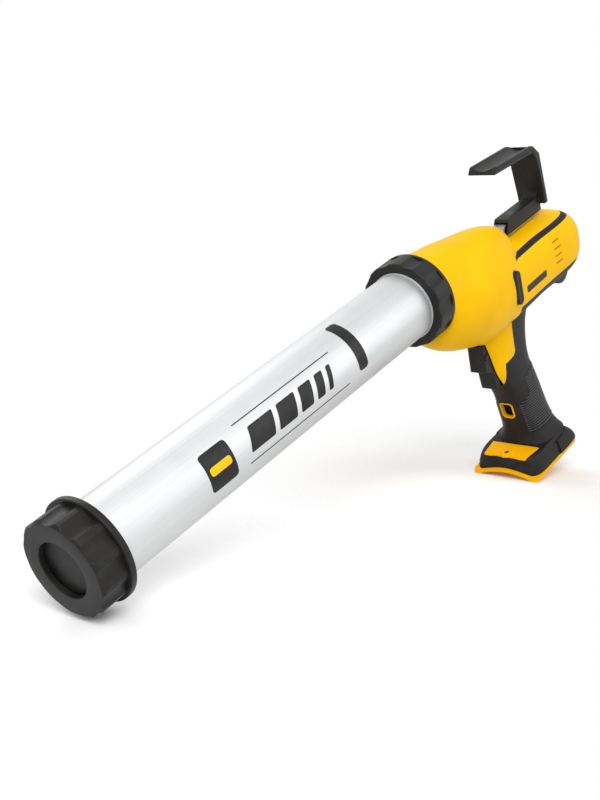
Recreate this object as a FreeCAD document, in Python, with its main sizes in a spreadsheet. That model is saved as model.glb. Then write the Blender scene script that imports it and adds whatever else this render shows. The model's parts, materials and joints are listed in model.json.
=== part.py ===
"""Cordless caulking tool for foil packs, as an assembly of separate pieces.

The barrel lies along X with the nozzle hole's centre at the origin, +X runs back to the
pull hook, +Z is up and +Y is the tool's right. The plunger is stored fully forward.
"""

import FreeCAD, Part
import Sketcher
import math
import os
from functools import cache
from types import SimpleNamespace
from FreeCAD import Placement, Rotation, Vector

SIZES = {
    # Fits shared by all pieces
    "run_gap": 0.05,
    "slide_gap": 0.1,
    "seat_gap": 0.15,
    "part_gap": 0.3,
    "overrun": 2.0,
    # Barrel tube
    "tube_radius": 28.5,
    "tube_wall": 2.5,
    "barrel_end": 392.0,
    # Front cap
    "cap_length": 25.8,
    "cap_face_wall": 4.5,
    "cap_radius": 34.8,
    "cap_chamfer": 2.0,
    "cap_flange_radius": 37.2,
    "cap_flange_depth": 4.8,
    "cap_grip_radius": 15.0,
    "cap_grip_depth": 1.5,
    "nozzle_radius": 20.0,
    # Collar nut
    "collar_front": 377.5,
    "collar_length": 21.5,
    "collar_radius": 36.8,
    "collar_chamfer": 1.4,
    "collar_lip": 3.0,
    "collar_lip_radius": 29.3,
    "collar_grip_radius": 20.0,
    "collar_grip_depth": 1.3,
    "collar_rim": 3.0,
    # Barrel mount
    "neck_radius": 30.6,
    "mount_wall": 5.0,
    "mount_flange_radius": 32.2,
    "mount_flange_depth": 3.0,
    "mount_flange_top": 4.0,
    "mount_ring_radius": 24.0,
    # Plunger
    "rod_half_width": 5.5,
    "rod_top": 5.0,
    "rod_bottom": 6.5,
    "rod_rear": 600.0,
    "teeth_start": 100.0,
    "teeth_end": 532.0,
    "piston_front": 7.0,
    "piston_plate_depth": 5.0,
    "piston_gap": 0.4,
    "piston_seal_depth": 3.0,
    "piston_seal_gap": 0.08,
    "piston_washer_depth": 3.0,
    "piston_washer_radius": 17.0,
    "piston_screw_radius": 3.0,
    "piston_screw_length": 22.0,
    "piston_head_radius": 6.0,
    "piston_head_depth": 3.5,
    # Pull hook
    "hook_base_front": 537.0,
    "hook_base_slant": 8.5,
    "hook_base_half_width": 7.5,
    "hook_base_top": 8.6,
    "hook_base_bottom": 4.8,
    "hook_strap_half_width": 14.0,
    "hook_strap": 6.0,
    "hook_rear": 608.0,
    "hook_lean": 4.0,
    "hook_top_rear": 59.8,
    "hook_top_front": 63.0,
    "hook_tip": 525.0,
    "hook_tip_slant": 5.0,
    "hook_corner": 10.0,
    "hook_dish_radius": 18.0,
    "hook_dish_depth": 3.4,
    "hook_round": 2.4,
    "hook_screw_radius": 1.8,
    "hook_screw_head_radius": 3.4,
    "hook_screw_head_depth": 1.6,
    "hook_screw_length": 10.0,
    "hook_screw_front": 562.0,
    "hook_screw_pitch": 22.0,
    # Head of the body: dome and motor housing
    "head_front": 399.5,
    "head_length": 240.5,
    "dome_length": 146.0,
    "dome_height": 33.0,
    "dome_depth": 78.0,
    "dome_half_width": 40.0,
    "motor_case_length": 150.0,
    "motor_case_top": 8.5,
    "motor_case_bottom": 72.0,
    "motor_case_half_width": 34.0,
    "wall": 2.6,
    "front_wall": 4.0,
    # Handle and foot
    "handle_front": 470.0,
    "handle_reach": 100.0,
    "handle_top": 60.0,
    "handle_drop": 144.0,
    "handle_half_width": 17.0,
    "foot_front": 481.3,
    "foot_length": 83.2,
    "foot_half_width": 33.8,
    "foot_top": 203.0,
    "foot_height": 16.5,
    # Colour boundary between the yellow and the black mouldings
    "panel_rear": 627.0,
    "panel_bottom": 56.5,
    # Drive train
    "gear_module": 1.25,
    "gear_play": 0.32,
    "pinion_x": 470.0,
    "motor_axis": 36.5,
    "spur_start": 6.6,
    "spur_width": 4.8,
    "bevel_face": 4.5,
    "bevel_hub": 4.0,
    "pinion_shaft_radius": 2.5,
    "idler_pin_radius": 2.5,
    "cross_shaft_radius": 4.0,
    "bush_wall": 1.4,
    "plate_inside": 12.0,
    "plate_thickness": 3.0,
    "plate_front": 445.0,
    "plate_rear": 500.0,
    "plate_top": 16.0,
    "plate_bottom": 56.0,
    "plate_corner_x": 20.0,
    "plate_corner_z": 14.0,
    "gearbox_front": 503.0,
    "gearbox_rear": 547.0,
    "gearbox_radius": 22.6,
    "gearbox_nose_radius": 10.0,
    "gearbox_nose": 8.0,
    "motor_rear": 598.0,
    "motor_radius": 21.5,
    "motor_boss_radius": 8.0,
    "motor_boss": 4.0,
    "output_radius": 3.5,
    "guide_front": 504.5,
    "guide_length": 14.0,
    "guide_half_width": 11.0,
    "guide_top": 8.4,
    "guide_bottom": 12.6,
    # Ribs inside the housing
    "rib": 3.0,
    "rib_gear_front": 444.0,
    "rib_gear_rear": 498.0,
    "rib_guide": 510.0,
    "rib_gearbox": 534.0,
    "rib_motor_front": 560.0,
    "rib_motor_rear": 588.0,
    "rib_switch_top": 92.0,
    "rib_switch_low": 116.0,
    # Trigger and its cross button
    "trigger_half_width": 8.2,
    "trigger_side_gap": 1.0,
    "trigger_front": 467.0,
    "trigger_top": 80.0,
    "trigger_lip": 465.0,
    "trigger_lip_drop": 25.0,
    "trigger_groove": 470.5,
    "trigger_groove_drop": 27.5,
    "trigger_low_front": 476.0,
    "trigger_low_drop": 29.5,
    "trigger_foot": 478.0,
    "trigger_height": 48.0,
    "trigger_rear": 486.0,
    "trigger_round": 3.0,
    "trigger_travel": 7.0,
    "plunger_bite": 3.0,
    "plunger_length": 10.0,
    "lock_radius": 3.0,
    "lock_x": 471.5,
    "lock_drop": 12.0,
    "lock_proud": 0.7,
    # Rod release button
    "button_x": 494.5,
    "button_drop": 33.5,
    "button_width": 10.0,
    "button_height": 31.0,
    "button_proud": 1.2,
    "button_depth": 7.0,
    "button_gap": 0.35,
    "button_travel": 2.5,
    "button_stem_radius": 3.0,
    "button_stem_bite": 1.0,
    "button_lip": 2.0,
    "button_lip_depth": 1.6,
    "button_lip_inset": 8.6,
    # Speed wheel
    "dial_x": 617.0,
    "dial_drop": 67.5,
    "dial_radius": 15.5,
    "dial_half_width": 12.0,
    "dial_slot_gap": 0.5,
    "dial_pin_radius": 2.0,
    "dial_ear": 3.5,
    "dial_ear_half_length": 6.0,
    "dial_ear_rise": 6.0,
    # Side stripe inlay
    "vent_front": 572.0,
    "vent_length": 12.0,
    "vent_height": 1.6,
    "vent_top": 23.5,
    "vent_pitch": 6.6,
    "stripe_front": 511.0,
    "stripe_drop": 14.4,
    "stripe_height": 3.6,
    "stripe_depth": 1.4,
    # Electrical pieces
    "switch_front": 495.0,
    "switch_length": 32.0,
    "switch_top": 86.0,
    "switch_height": 36.0,
    "switch_half_width": 10.5,
    "plunger_radius": 3.0,
    "board_front": 508.0,
    "board_length": 48.0,
    "board_half_width": 23.0,
    "board_thickness": 1.6,
    "board_gap": 5.5,
    "terminal_front": 524.0,
    "terminal_length": 24.0,
    "terminal_half_width": 12.0,
    "terminal_floor": 0.6,
    "blade_length": 12.0,
    "blade_thickness": 0.8,
    "blade_height": 2.4,
    "blade_pitch": 5.0,
    # Foot trim
    "rail_height": 3.5,
    "rail_reach": 2.5,
    "rail_half_width": 34.6,
    "rail_corner": 5.0,
    "rail_arch": 5.6,
    "rail_arch_half_width": 27.0,
    "rail_band": 3.0,
    "rail_rear_inset": 4.0,
    "rail_stop": 16.5,
    "foot_plate_inset": 2.4,
    "foot_plate_length": 22.6,
    "foot_plate_front_half": 21.6,
    "foot_plate_rear_half": 24.6,
    "foot_plate_thickness": 2.2,
    "foot_plate_recess": 1.4,
    "foot_boss_radius": 5.5,
    "foot_boss_height": 0.9,
    "foot_boss_x": 489.0,
    "foot_hole_radius": 1.5,
    "bumper_front": 527.0,
    "bumper_length": 34.0,
    "bumper_top": 205.5,
    "bumper_height": 13.2,
    "bumper_proud": 1.8,
    # Framed window in the handle's front
    "window_top": 156.0,
    "window_height": 15.0,
    "window_half_width": 5.6,
    "window_frame": 1.1,
    "window_round": 2.6,
    "window_proud": 0.5,
    "window_depth": 4.0,
    "window_front": 490.0,
    "window_reach": 22.0,
    # Housing screws
    "screw_radius": 1.5,
    "screw_head_radius": 3.2,
    "screw_head_depth": 2.6,
    "screw_sink": 6.0,
    "screw_boss_wall": 3.2,
    "screw_left_bite": 7.0,
}

CAP_GRIPS = 12
COLLAR_GRIPS = 10
PINION_TEETH = 12
IDLER_TEETH = 28
BEVEL_GEAR_TEETH = 20
BEVEL_PINION_TEETH = 10
BLADES = 4
HOOK_SCREWS = 2
VENTS = 4
PRESSURE_ANGLE = math.radians(25)
ADDENDUM_SHARE = 1.0
DEDENDUM_SHARE = 1.25
FLANK_SHARES = (0.0, 0.4, 0.7, 1.0)
RING_POINTS = 20
ROOM_POINTS = 12
LOFT_DEGREE = 3
FULL_TURN = 360

# Stations along the dome, with its top, widest level, bottom, half width and roundness at each
DOME_SHARES = (
    (0.000, 0.985, 0.056, 0.53, 0.862, 2.0),
    (0.033, 1.005, 0.107, 0.64, 0.905, 2.0),
    (0.107, 0.965, 0.181, 0.748, 0.948, 2.0),
    (0.206, 0.895, 0.243, 0.838, 0.982, 2.05),
    (0.338, 0.817, 0.310, 0.922, 1.000, 2.1),
    (0.483, 0.709, 0.375, 0.985, 0.988, 2.1),
    (0.600, 0.640, 0.430, 0.985, 0.963, 2.0),
    (0.685, 0.575, 0.462, 0.955, 0.922, 1.9),
    (0.745, 0.510, 0.468, 0.915, 0.862, 1.85),
    (0.812, 0.410, 0.468, 0.855, 0.765, 1.85),
    (0.894, 0.240, 0.460, 0.745, 0.560, 1.9),
    (0.955, 0.020, 0.430, 0.620, 0.345, 2.0),
    (1.000, -0.300, 0.390, 0.500, 0.150, 2.0),
)

# Stations along the motor case, with its top, widest level, bottom, half width and roundness at each
MOTOR_SHARES = (
    (0.000, 1.00, 0.559, 1.000, 1.000, 2.8),
    (0.300, 1.00, 0.559, 1.000, 1.000, 2.8),
    (0.600, 1.00, 0.559, 1.000, 0.998, 2.8),
    (0.770, 1.02, 0.559, 1.000, 0.992, 2.8),
    (0.895, 1.40, 0.559, 0.960, 0.912, 2.7),
    (0.967, 2.35, 0.559, 0.856, 0.690, 2.5),
    (1.000, 3.40, 0.559, 0.722, 0.410, 2.3),
)

# Stations down the handle, with its front, rear and half width at each
HANDLE_SHARES = (
    (0.000, 0.00, 0.93, 1.25),
    (0.070, -0.01, 0.84, 1.16),
    (0.140, -0.01, 0.760, 1.10),
    (0.280, 0.05, 0.705, 1.01),
    (0.410, 0.115, 0.700, 0.975),
    (0.555, 0.245, 0.750, 0.975),
    (0.730, 0.32, 0.825, 1.00),
    (0.880, 0.375, 0.885, 1.10),
    (0.945, 0.38, 0.915, 1.32),
    (1.000, 0.37, 0.945, 1.75),
)
HANDLE_POWER = 2.6

# Levels down the foot, with its front and rear setback, half width and roundness at each
FOOT_SHARES = (
    (0.00, 0.030, 0.170, 0.860, 4.5),
    (0.22, 0.018, 0.095, 0.930, 5.0),
    (0.60, 0.006, 0.025, 0.982, 6.0),
    (1.00, 0.000, 0.000, 1.000, 7.0),
)

# Lower part of the yellow moulding's edge: reach and drop along the handle
WING_SHARES = (
    (0.340, 0.000),
    (0.335, 0.115),
    (0.353, 0.285),
    (0.320, 0.308),
    (0.195, 0.325),
    (0.198, 0.470),
    (0.192, 0.552),
    (0.160, 0.580),
    (0.118, 0.525),
    (-0.200, 0.525),
)

# Places of the housing screws, as shares of the head's length and depth
SCREW_SHARES = (
    (0.060, -0.40),
    (0.075, 0.22),
    (0.560, -0.83),
    (0.917, -0.25),
)
# Places of the handle screws, as shares of the handle's reach and drop
HANDLE_SCREW_SHARES = (
    (0.52, 0.56),
    (0.60, 0.80),
)


class Size:
    """A length together with the sheet expression that gives it."""

    def __init__(self, value, text):
        self.value = value
        self.text = text

    def __float__(self):
        return self.value

    def __add__(self, other):
        other = as_size(other)
        return Size(self.value + other.value, f"({self.text} + {other.text})")

    def __sub__(self, other):
        other = as_size(other)
        return Size(self.value - other.value, f"({self.text} - {other.text})")

    def __mul__(self, factor):
        return Size(self.value * factor, f"({self.text} * {factor})")

    def __truediv__(self, factor):
        return Size(self.value / factor, f"({self.text} / {factor})")

    def __neg__(self):
        return Size(-self.value, f"(-1 * {self.text})")


def as_size(number):
    return number if isinstance(number, Size) else Size(float(number), str(number))


def make_sheet():
    """Writes the driving dimensions to the sheet and reads them back as sizes."""
    sheet = doc.addObject("Spreadsheet::Sheet", "dims")
    for row, (name, value) in enumerate(SIZES.items(), start=1):
        sheet.set(f"A{row}", name)
        sheet.set(f"B{row}", str(value))
        sheet.setAlias(f"B{row}", name)
    doc.recompute()
    return SimpleNamespace(**{name: Size(float(sheet.get(name)), f"dims.{name}") for name in SIZES})


doc = FreeCAD.newDocument("caulking_tool")
s = make_sheet()
pieces = {}

TURN = {
    "x": Rotation(Vector(0, 1, 0), 90),
    "y": Rotation(Vector(1, 0, 0), -90),
    "z": Rotation(),
}


def piece(label, item):
    """Registers a finished sub-part under the name of its file."""
    item.Label = label
    pieces[label] = item
    return item


def place(item, base, turn=TURN["z"]):
    item.Placement = Placement(Vector(*(float(size) for size in base)), turn)
    for letter, size in zip("xyz", base):
        item.setExpression(f"Placement.Base.{letter}", as_size(size).text)


def box(name, low, high):
    item = doc.addObject("Part::Box", name)
    for side, start, end in zip(("Length", "Width", "Height"), low, high):
        item.setExpression(side, (as_size(end) - start).text)
    place(item, low)
    return item


def cylinder(name, axis, radius, length, base):
    item = doc.addObject("Part::Cylinder", name)
    item.setExpression("Radius", radius.text)
    item.setExpression("Height", length.text)
    place(item, base, TURN[axis])
    return item


def fused(name, *items):
    item = doc.addObject("Part::MultiFuse", name)
    item.Shapes = list(items)
    return item


def cut(name, base, *tools):
    item = doc.addObject("Part::Cut", name)
    item.Base = base
    item.Tool = tools[0] if len(tools) == 1 else fused(f"{name}_cuts", *tools)
    return item


def feature(name, shape):
    item = doc.addObject("Part::Feature", name)
    item.Shape = shape
    return item


def sketch_on(body, role, name):
    sketch = body.newObject("Sketcher::SketchObject", name)
    plane = next(item for item in body.Origin.OriginFeatures if item.Role == role)
    sketch.AttachmentSupport = (plane, [""])
    sketch.MapMode = "FlatFace"
    return sketch


def hold(sketch, edge, point, corner):
    """Ties a sketch point to the sheet by its distances from the origin."""
    for kind, axis, size in (("DistanceX", -2, corner[0]), ("DistanceY", -1, corner[1])):
        size = as_size(size)
        if size.value == 0:
            sketch.addConstraint(Sketcher.Constraint("PointOnObject", edge, point, axis))
        else:
            index = sketch.addConstraint(Sketcher.Constraint(kind, -1, 1, edge, point, size.value))
            sketch.setExpression(f"Constraints[{index}]", size.text)


def outline(sketch, corners):
    """Closed outline of straight edges through the given corners."""
    points = [Vector(float(a), float(b), 0) for a, b in corners]
    count = len(points)
    for index in range(count):
        sketch.addGeometry(Part.LineSegment(points[index], points[(index + 1) % count]), False)
    for index in range(count):
        sketch.addConstraint(Sketcher.Constraint("Coincident", index, 2, (index + 1) % count, 1))
    for index, corner in enumerate(corners):
        hold(sketch, index, 1, corner)


def revolved(name, corners):
    """Body turned about the barrel's axis; corners are (distance along X, radius)."""
    body = doc.addObject("PartDesign::Body", name)
    profile = sketch_on(body, "XY_Plane", f"{name}_profile")
    outline(profile, corners)
    turn = body.newObject("PartDesign::Revolution", f"{name}_turn")
    turn.Profile = profile
    turn.ReferenceAxis = (profile, ["H_Axis"])
    turn.Angle = FULL_TURN
    body.Tip = turn
    return body


def pad(body, name, corners, width):
    """Pads an XZ outline by the same amount to both sides of the middle plane."""
    profile = sketch_on(body, "XZ_Plane", f"{name}_profile")
    outline(profile, corners)
    item = body.newObject("PartDesign::Pad", name)
    item.Profile = profile
    item.setExpression("Length", as_size(width).text)
    item.Midplane = True
    body.Tip = item
    return item


def round_edges(body, name, radius, wanted):
    """Fillets those edges of the body's tip that the test picks."""
    doc.recompute()
    base = body.Tip
    names = [f"Edge{i}" for i, edge in enumerate(base.Shape.Edges, start=1) if wanted(edge)]
    item = body.newObject("PartDesign::Fillet", name)
    item.Base = (base, names)
    item.setExpression("Radius", radius.text)
    body.Tip = item
    return item


def grips(body, name, count, radius, depth, rim, start, length):
    """Cuts a ring of shallow finger scallops into a revolved body."""
    profile = sketch_on(body, "YZ_Plane", f"{name}_profile")
    profile.AttachmentOffset = Placement(Vector(0, 0, float(start)), Rotation())
    profile.setExpression("AttachmentOffset.Base.z", as_size(start).text)
    centre = rim + radius - depth
    profile.addGeometry(Part.Circle(Vector(float(centre), 0, 0), Vector(0, 0, 1), float(radius)), False)
    size = profile.addConstraint(Sketcher.Constraint("Radius", 0, float(radius)))
    profile.setExpression(f"Constraints[{size}]", radius.text)
    hold(profile, 0, 3, (centre, 0))
    pocket = body.newObject("PartDesign::Pocket", f"{name}_pocket")
    pocket.Profile = profile
    pocket.setExpression("Length", as_size(length).text)
    pocket.Reversed = True
    ring = body.newObject("PartDesign::PolarPattern", f"{name}_ring")
    ring.Originals = [pocket]
    ring.Axis = (profile, ["N_Axis"])
    ring.Angle = FULL_TURN
    ring.Occurrences = count
    body.Tip = ring


def rod_slot(name, front, rear, gap):
    side = s.rod_half_width + gap
    return box(name, (front, -side, -(s.rod_bottom + gap)), (rear, side, s.rod_top + gap))


def barrel_pieces():
    """Tube, front cap, collar nut and the threaded mount that carries them."""
    inner = s.tube_radius - s.tube_wall
    front = s.cap_face_wall + s.part_gap
    corners = ((front, inner), (front, s.tube_radius), (s.barrel_end, s.tube_radius), (s.barrel_end, inner))
    piece("barrel_tube", revolved("tube", corners))

    bore = s.tube_radius + s.run_gap
    flange = s.cap_length - s.cap_flange_depth
    cap = revolved("cap", (
        (0, s.nozzle_radius),
        (0, s.cap_radius - s.cap_chamfer),
        (s.cap_chamfer, s.cap_radius),
        (flange, s.cap_radius),
        (flange, s.cap_flange_radius),
        (s.cap_length, s.cap_flange_radius),
        (s.cap_length, bore),
        (s.cap_face_wall, bore),
        (s.cap_face_wall, s.nozzle_radius),
    ))
    grips(cap, "cap_grip", CAP_GRIPS, s.cap_grip_radius, s.cap_grip_depth, s.cap_radius, 0, flange)
    piece("front_cap", cap)

    rear = s.collar_front + s.collar_length
    lip = s.collar_front + s.collar_lip
    collar = revolved("collar", (
        (s.collar_front, s.collar_lip_radius),
        (s.collar_front, s.collar_radius - s.collar_chamfer),
        (s.collar_front + s.collar_chamfer, s.collar_radius),
        (rear, s.collar_radius),
        (rear, s.neck_radius + s.run_gap),
        (lip, s.neck_radius + s.run_gap),
        (lip, s.collar_lip_radius),
    ))
    grips(collar, "collar_grip", COLLAR_GRIPS, s.collar_grip_radius, s.collar_grip_depth,
          s.collar_radius, s.collar_front, s.collar_length - s.collar_rim)
    piece("collar_nut", collar)

    neck = lip + s.part_gap
    flange = s.head_front + s.front_wall + s.seat_gap
    back = flange + s.mount_flange_depth
    wall = s.barrel_end + s.mount_wall
    mount = revolved("mount", (
        (neck, s.tube_radius),
        (neck, s.neck_radius),
        (flange, s.neck_radius),
        (flange, s.mount_flange_radius),
        (back, s.mount_flange_radius),
        (back, s.mount_ring_radius),
        (wall, s.mount_ring_radius),
        (wall, 0),
        (s.barrel_end, 0),
        (s.barrel_end, s.tube_radius),
    ))
    slot = rod_slot("mount_slot", s.barrel_end - s.overrun, wall + s.overrun, s.slide_gap)
    reach = s.mount_flange_radius + s.overrun
    lid = box("mount_lid", (flange, -reach, s.mount_flange_top), (back + s.overrun, reach, reach))
    core = cylinder("mount_core", "x", s.neck_radius, back - flange + s.overrun, (flange, 0, 0))
    flat = cut("mount_flat", lid, core)
    piece("barrel_mount", cut("mount_cut", mount, slot, flat))


def plunger_pieces():
    """Toothed rod, piston stack and pull hook, which slide as one."""
    inner = s.tube_radius - s.tube_wall
    seal = s.piston_front + s.piston_plate_depth
    washer = seal + s.piston_seal_depth
    rod_front = washer + s.piston_washer_depth
    rows = (
        ("piston_plate", s.piston_front, s.piston_plate_depth, inner - s.piston_gap),
        ("piston_seal", seal, s.piston_seal_depth, inner - s.piston_seal_gap),
        ("piston_washer", washer, s.piston_washer_depth, s.piston_washer_radius),
    )
    hole_start = s.piston_front - s.overrun
    hole_length = rod_front - hole_start + s.overrun
    for label, start, depth, radius in rows:
        disc = cylinder(f"{label}_disc", "x", radius, depth, (start, 0, 0))
        hole = cylinder(f"{label}_hole", "x", s.piston_screw_radius, hole_length, (hole_start, 0, 0))
        tools = [hole]
        if label == "piston_plate":
            sink = s.piston_head_depth + s.overrun
            tools.append(cylinder("piston_sink", "x", s.piston_head_radius, sink, (hole_start, 0, 0)))
        piece(label, cut(f"{label}_cut", disc, *tools))

    shank = cylinder("piston_shank", "x", s.piston_screw_radius, s.piston_screw_length,
                     (s.piston_front, 0, 0))
    head = cylinder("piston_head", "x", s.piston_head_radius, s.piston_head_depth, (s.piston_front, 0, 0))
    piece("piston_screw", fused("piston_screw_body", shank, head))

    rod = feature("rod_blank", rack_shape(rod_front))
    tap = cylinder("rod_tap", "x", s.piston_screw_radius, s.piston_screw_length, (s.piston_front, 0, 0))
    holes = [tap]
    for index in range(HOOK_SCREWS):
        x = s.hook_screw_front + s.hook_screw_pitch * index
        top = s.hook_base_top
        holes.append(cylinder(f"rod_hole_{index}", "z", s.hook_screw_radius, s.hook_screw_length,
                              (x, 0, top - s.hook_screw_length)))
    piece("rod_rack", cut("rod_cut", rod, *holes))
    hook_pieces()


def rack_shape(front):
    """Square rod with rack teeth along its top, in mesh with the pinion at rest."""
    module = float(s.gear_module)
    pitch = math.pi * module
    tip = float(s.rod_top)
    line = tip - ADDENDUM_SHARE * module
    root = line - DEDENDUM_SHARE * module
    half = pitch / 4 - float(s.gear_play) / 4
    slope = math.tan(PRESSURE_ANGLE)
    tip_half = half - (tip - line) * slope
    root_half = half + (line - root) * slope
    first = math.ceil((float(s.teeth_start) - float(s.pinion_x)) / pitch)
    last = math.floor((float(s.teeth_end) - float(s.pinion_x)) / pitch)
    start, rear, low = float(front), float(s.rod_rear), -float(s.rod_bottom)
    points = [(start, low), (start, tip)]
    for index in range(first, last + 1):
        gap = float(s.pinion_x) + index * pitch
        left, right = gap - pitch / 2, gap + pitch / 2
        points += [(left + tip_half, tip), (left + root_half, root)]
        points += [(right - root_half, root), (right - tip_half, tip)]
    points += [(rear, tip), (rear, low)]
    side = float(s.rod_half_width)
    face = flat_face([Vector(x, -side, z) for x, z in points])
    return face.extrude(Vector(0, 2 * side, 0))


def flat_face(points):
    return Part.Face(Part.makePolygon(points + points[:1]))


def hook_pieces():
    """Pull hook: a channel over the rod's end, a post and a thumb plate bent forward."""
    body = doc.addObject("PartDesign::Body", "hook")
    strap = s.hook_strap
    low = s.rod_top - s.hook_strap / 2
    rear_top = s.hook_rear - s.hook_lean
    pad(body, "hook_strap_pad", (
        (s.hook_rear, low),
        (rear_top, s.hook_top_rear - s.hook_corner),
        (rear_top - s.hook_corner, s.hook_top_rear),
        (s.hook_tip + s.hook_tip_slant, s.hook_top_front),
        (s.hook_tip, s.hook_top_front - strap),
        (rear_top - s.hook_corner - strap / 2, s.hook_top_rear - strap),
        (rear_top - strap, s.hook_top_rear - s.hook_corner - strap / 2),
        (s.hook_rear - strap, s.hook_base_top),
        (s.hook_rear - strap, low),
    ), s.hook_strap_half_width * 2)
    near_corner = 2 * float(s.hook_corner)
    round_edges(body, "hook_bend", s.hook_round, lambda edge: is_across(edge)
                and edge.CenterOfMass.z > float(s.hook_top_rear) - near_corner
                and edge.CenterOfMass.x > float(rear_top) - near_corner)
    pad(body, "hook_base_pad", (
        (s.hook_base_front, -s.hook_base_bottom),
        (s.hook_base_front + s.hook_base_slant, s.hook_base_top),
        (s.hook_rear - strap / 2, s.hook_base_top),
        (s.hook_rear - strap / 2, -s.hook_base_bottom),
    ), s.hook_base_half_width * 2)
    channel = box("hook_channel",
                  (s.hook_base_front - s.overrun, -s.rod_half_width, -s.hook_base_bottom - s.overrun),
                  (s.rod_rear, s.rod_half_width, s.rod_top))
    tools = [channel, hook_dish(rear_top)]
    screws = []
    for index in range(HOOK_SCREWS):
        x = s.hook_screw_front + s.hook_screw_pitch * index
        low_z = s.hook_base_top - s.hook_screw_length
        sink = s.hook_base_top - s.hook_screw_head_depth
        names = [f"hook_{kind}_{index}" for kind in ("hole", "sink", "shank", "head")]
        tools.append(cylinder(names[0], "z", s.hook_screw_radius, s.hook_screw_length, (x, 0, low_z)))
        depth = s.hook_screw_head_depth
        tools.append(cylinder(names[1], "z", s.hook_screw_head_radius, depth + s.overrun, (x, 0, sink)))
        shank = s.hook_screw_length - depth
        screws.append(cylinder(names[2], "z", s.hook_screw_radius, shank, (x, 0, low_z)))
        screws.append(cylinder(names[3], "z", s.hook_screw_head_radius, depth, (x, 0, sink)))
    piece("pull_hook", cut("hook_cut", body, *tools))
    piece("hook_screws", fused("hook_screw_set", *screws))


def hook_dish(rear):
    """Round bar that hollows the thumb plate's top between its two side ribs."""
    lift = float(s.hook_dish_radius - s.hook_dish_depth)
    front = Vector(float(s.hook_tip + s.hook_tip_slant), 0, float(s.hook_top_front) + lift)
    back = Vector(float(rear - s.hook_corner), 0, float(s.hook_top_rear) + lift)
    along = (back - front).normalize() * float(s.overrun)
    length = back.distanceToPoint(front) + 2 * float(s.overrun)
    return feature("hook_dish", Part.makeCylinder(float(s.hook_dish_radius), length, front - along, along))


def is_across(edge):
    """True for a straight edge along Y."""
    return edge.BoundBox.XLength + edge.BoundBox.ZLength < edge.BoundBox.YLength / FULL_TURN


def involute(angle):
    return math.tan(angle) - angle


def tooth_flank(radius):
    """Height from the pitch circle and half thickness at steps up one tooth flank."""
    module = float(s.gear_module)
    low, high = -DEDENDUM_SHARE * module, ADDENDUM_SHARE * module
    base = radius * math.cos(PRESSURE_ANGLE)
    half = (math.pi * module / 2 - float(s.gear_play)) / 2 / radius
    rows = []
    for share in FLANK_SHARES:
        height = low + share * (high - low)
        at = radius + height
        roll = involute(math.acos(min(1.0, base / at)))
        rows.append((height, at * (half + involute(PRESSURE_ANGLE) - roll)))
    return rows


def tooth_ring(teeth, phase, cone):
    """Outline of a gear as (radius, offset from the pitch plane, angle) around the axis."""
    radius = float(s.gear_module) * teeth / 2
    rows = tooth_flank(radius / math.cos(cone))
    ring = []
    for tooth in range(teeth):
        middle = phase + 2 * math.pi * tooth / teeth
        for side, steps in ((-1, rows), (1, rows[::-1])):
            for height, half in steps:
                at = radius + height * math.cos(cone)
                ring.append((at, -height * math.sin(cone), middle + side * half / at))
    return ring


def spur_shape(teeth, phase, x, z, start, width):
    """Spur gear about Y, centred at (x, z); angles run from +X towards +Z."""
    points = [Vector(x + at * math.cos(turn), start, z + at * math.sin(turn))
              for at, _, turn in tooth_ring(teeth, phase, 0)]
    return flat_face(points).extrude(Vector(0, width, 0))


def bevel_shape(teeth, mate_teeth, phase, apex, axis, first, second, bore):
    """Straight bevel gear: tooth rings and bore rings at its two ends, drawn towards the apex."""
    cone = math.atan2(teeth, mate_teeth)
    out = float(s.gear_module) * mate_teeth / 2
    slant = math.hypot(out, float(s.gear_module) * teeth / 2)
    inner_share = 1 - float(s.bevel_face) / slant
    ring = tooth_ring(teeth, phase, cone)
    deepest = out + max(shift for _, shift, _ in ring)
    turns = sorted(turn for _, _, turn in ring)
    widest = max(after - before for before, after in zip(turns, turns[1:]))
    seat = float(bore) / math.cos(widest / 2)
    loops = []
    for share in (inner_share, 1.0):
        loops.append([axis * ((out + shift) * share) + around(first, second, at * share, turn)
                      for at, shift, turn in ring])
        loops.append([axis * (deepest * share) + around(first, second, seat, turn) for _, _, turn in ring])
    small, small_bore, big, big_bore = loops
    faces = []
    for loop, other in ((small, big), (big, big_bore), (big_bore, small_bore), (small_bore, small)):
        for index in range(len(ring)):
            after = (index + 1) % len(ring)
            faces.append(flat_face([loop[index], loop[after], other[index]]))
            faces.append(flat_face([loop[after], other[after], other[index]]))
    shell = Part.Shell(faces)
    shell.sewShape()
    solid = Part.Solid(shell)
    if solid.Volume < 0:
        solid.reverse()
    solid.translate(apex)
    return solid


def around(first, second, radius, turn):
    return first * (radius * math.cos(turn)) + second * (radius * math.sin(turn))


def mesh_phase(teeth, phase, mate_teeth, direction):
    """Phase of a gear that meshes with another one lying in the given direction from it."""
    return direction + math.pi + ((direction - phase) * teeth - math.pi) / mate_teeth


def drive_layout():
    """Centres of the rack pinion, the idler and the cross shaft."""
    module = s.gear_module
    pinion = s.rod_top + module * (PINION_TEETH / 2 - ADDENDUM_SHARE)
    link = float(module) * (PINION_TEETH + IDLER_TEETH) / 2
    height = float(pinion + s.motor_axis)
    offset = math.sqrt(link ** 2 - (height / 2) ** 2)
    return SimpleNamespace(pinion_z=pinion, idler_x=float(s.pinion_x) + offset,
                           idler_z=float(pinion) - height / 2, offset=offset, height=height)


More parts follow.
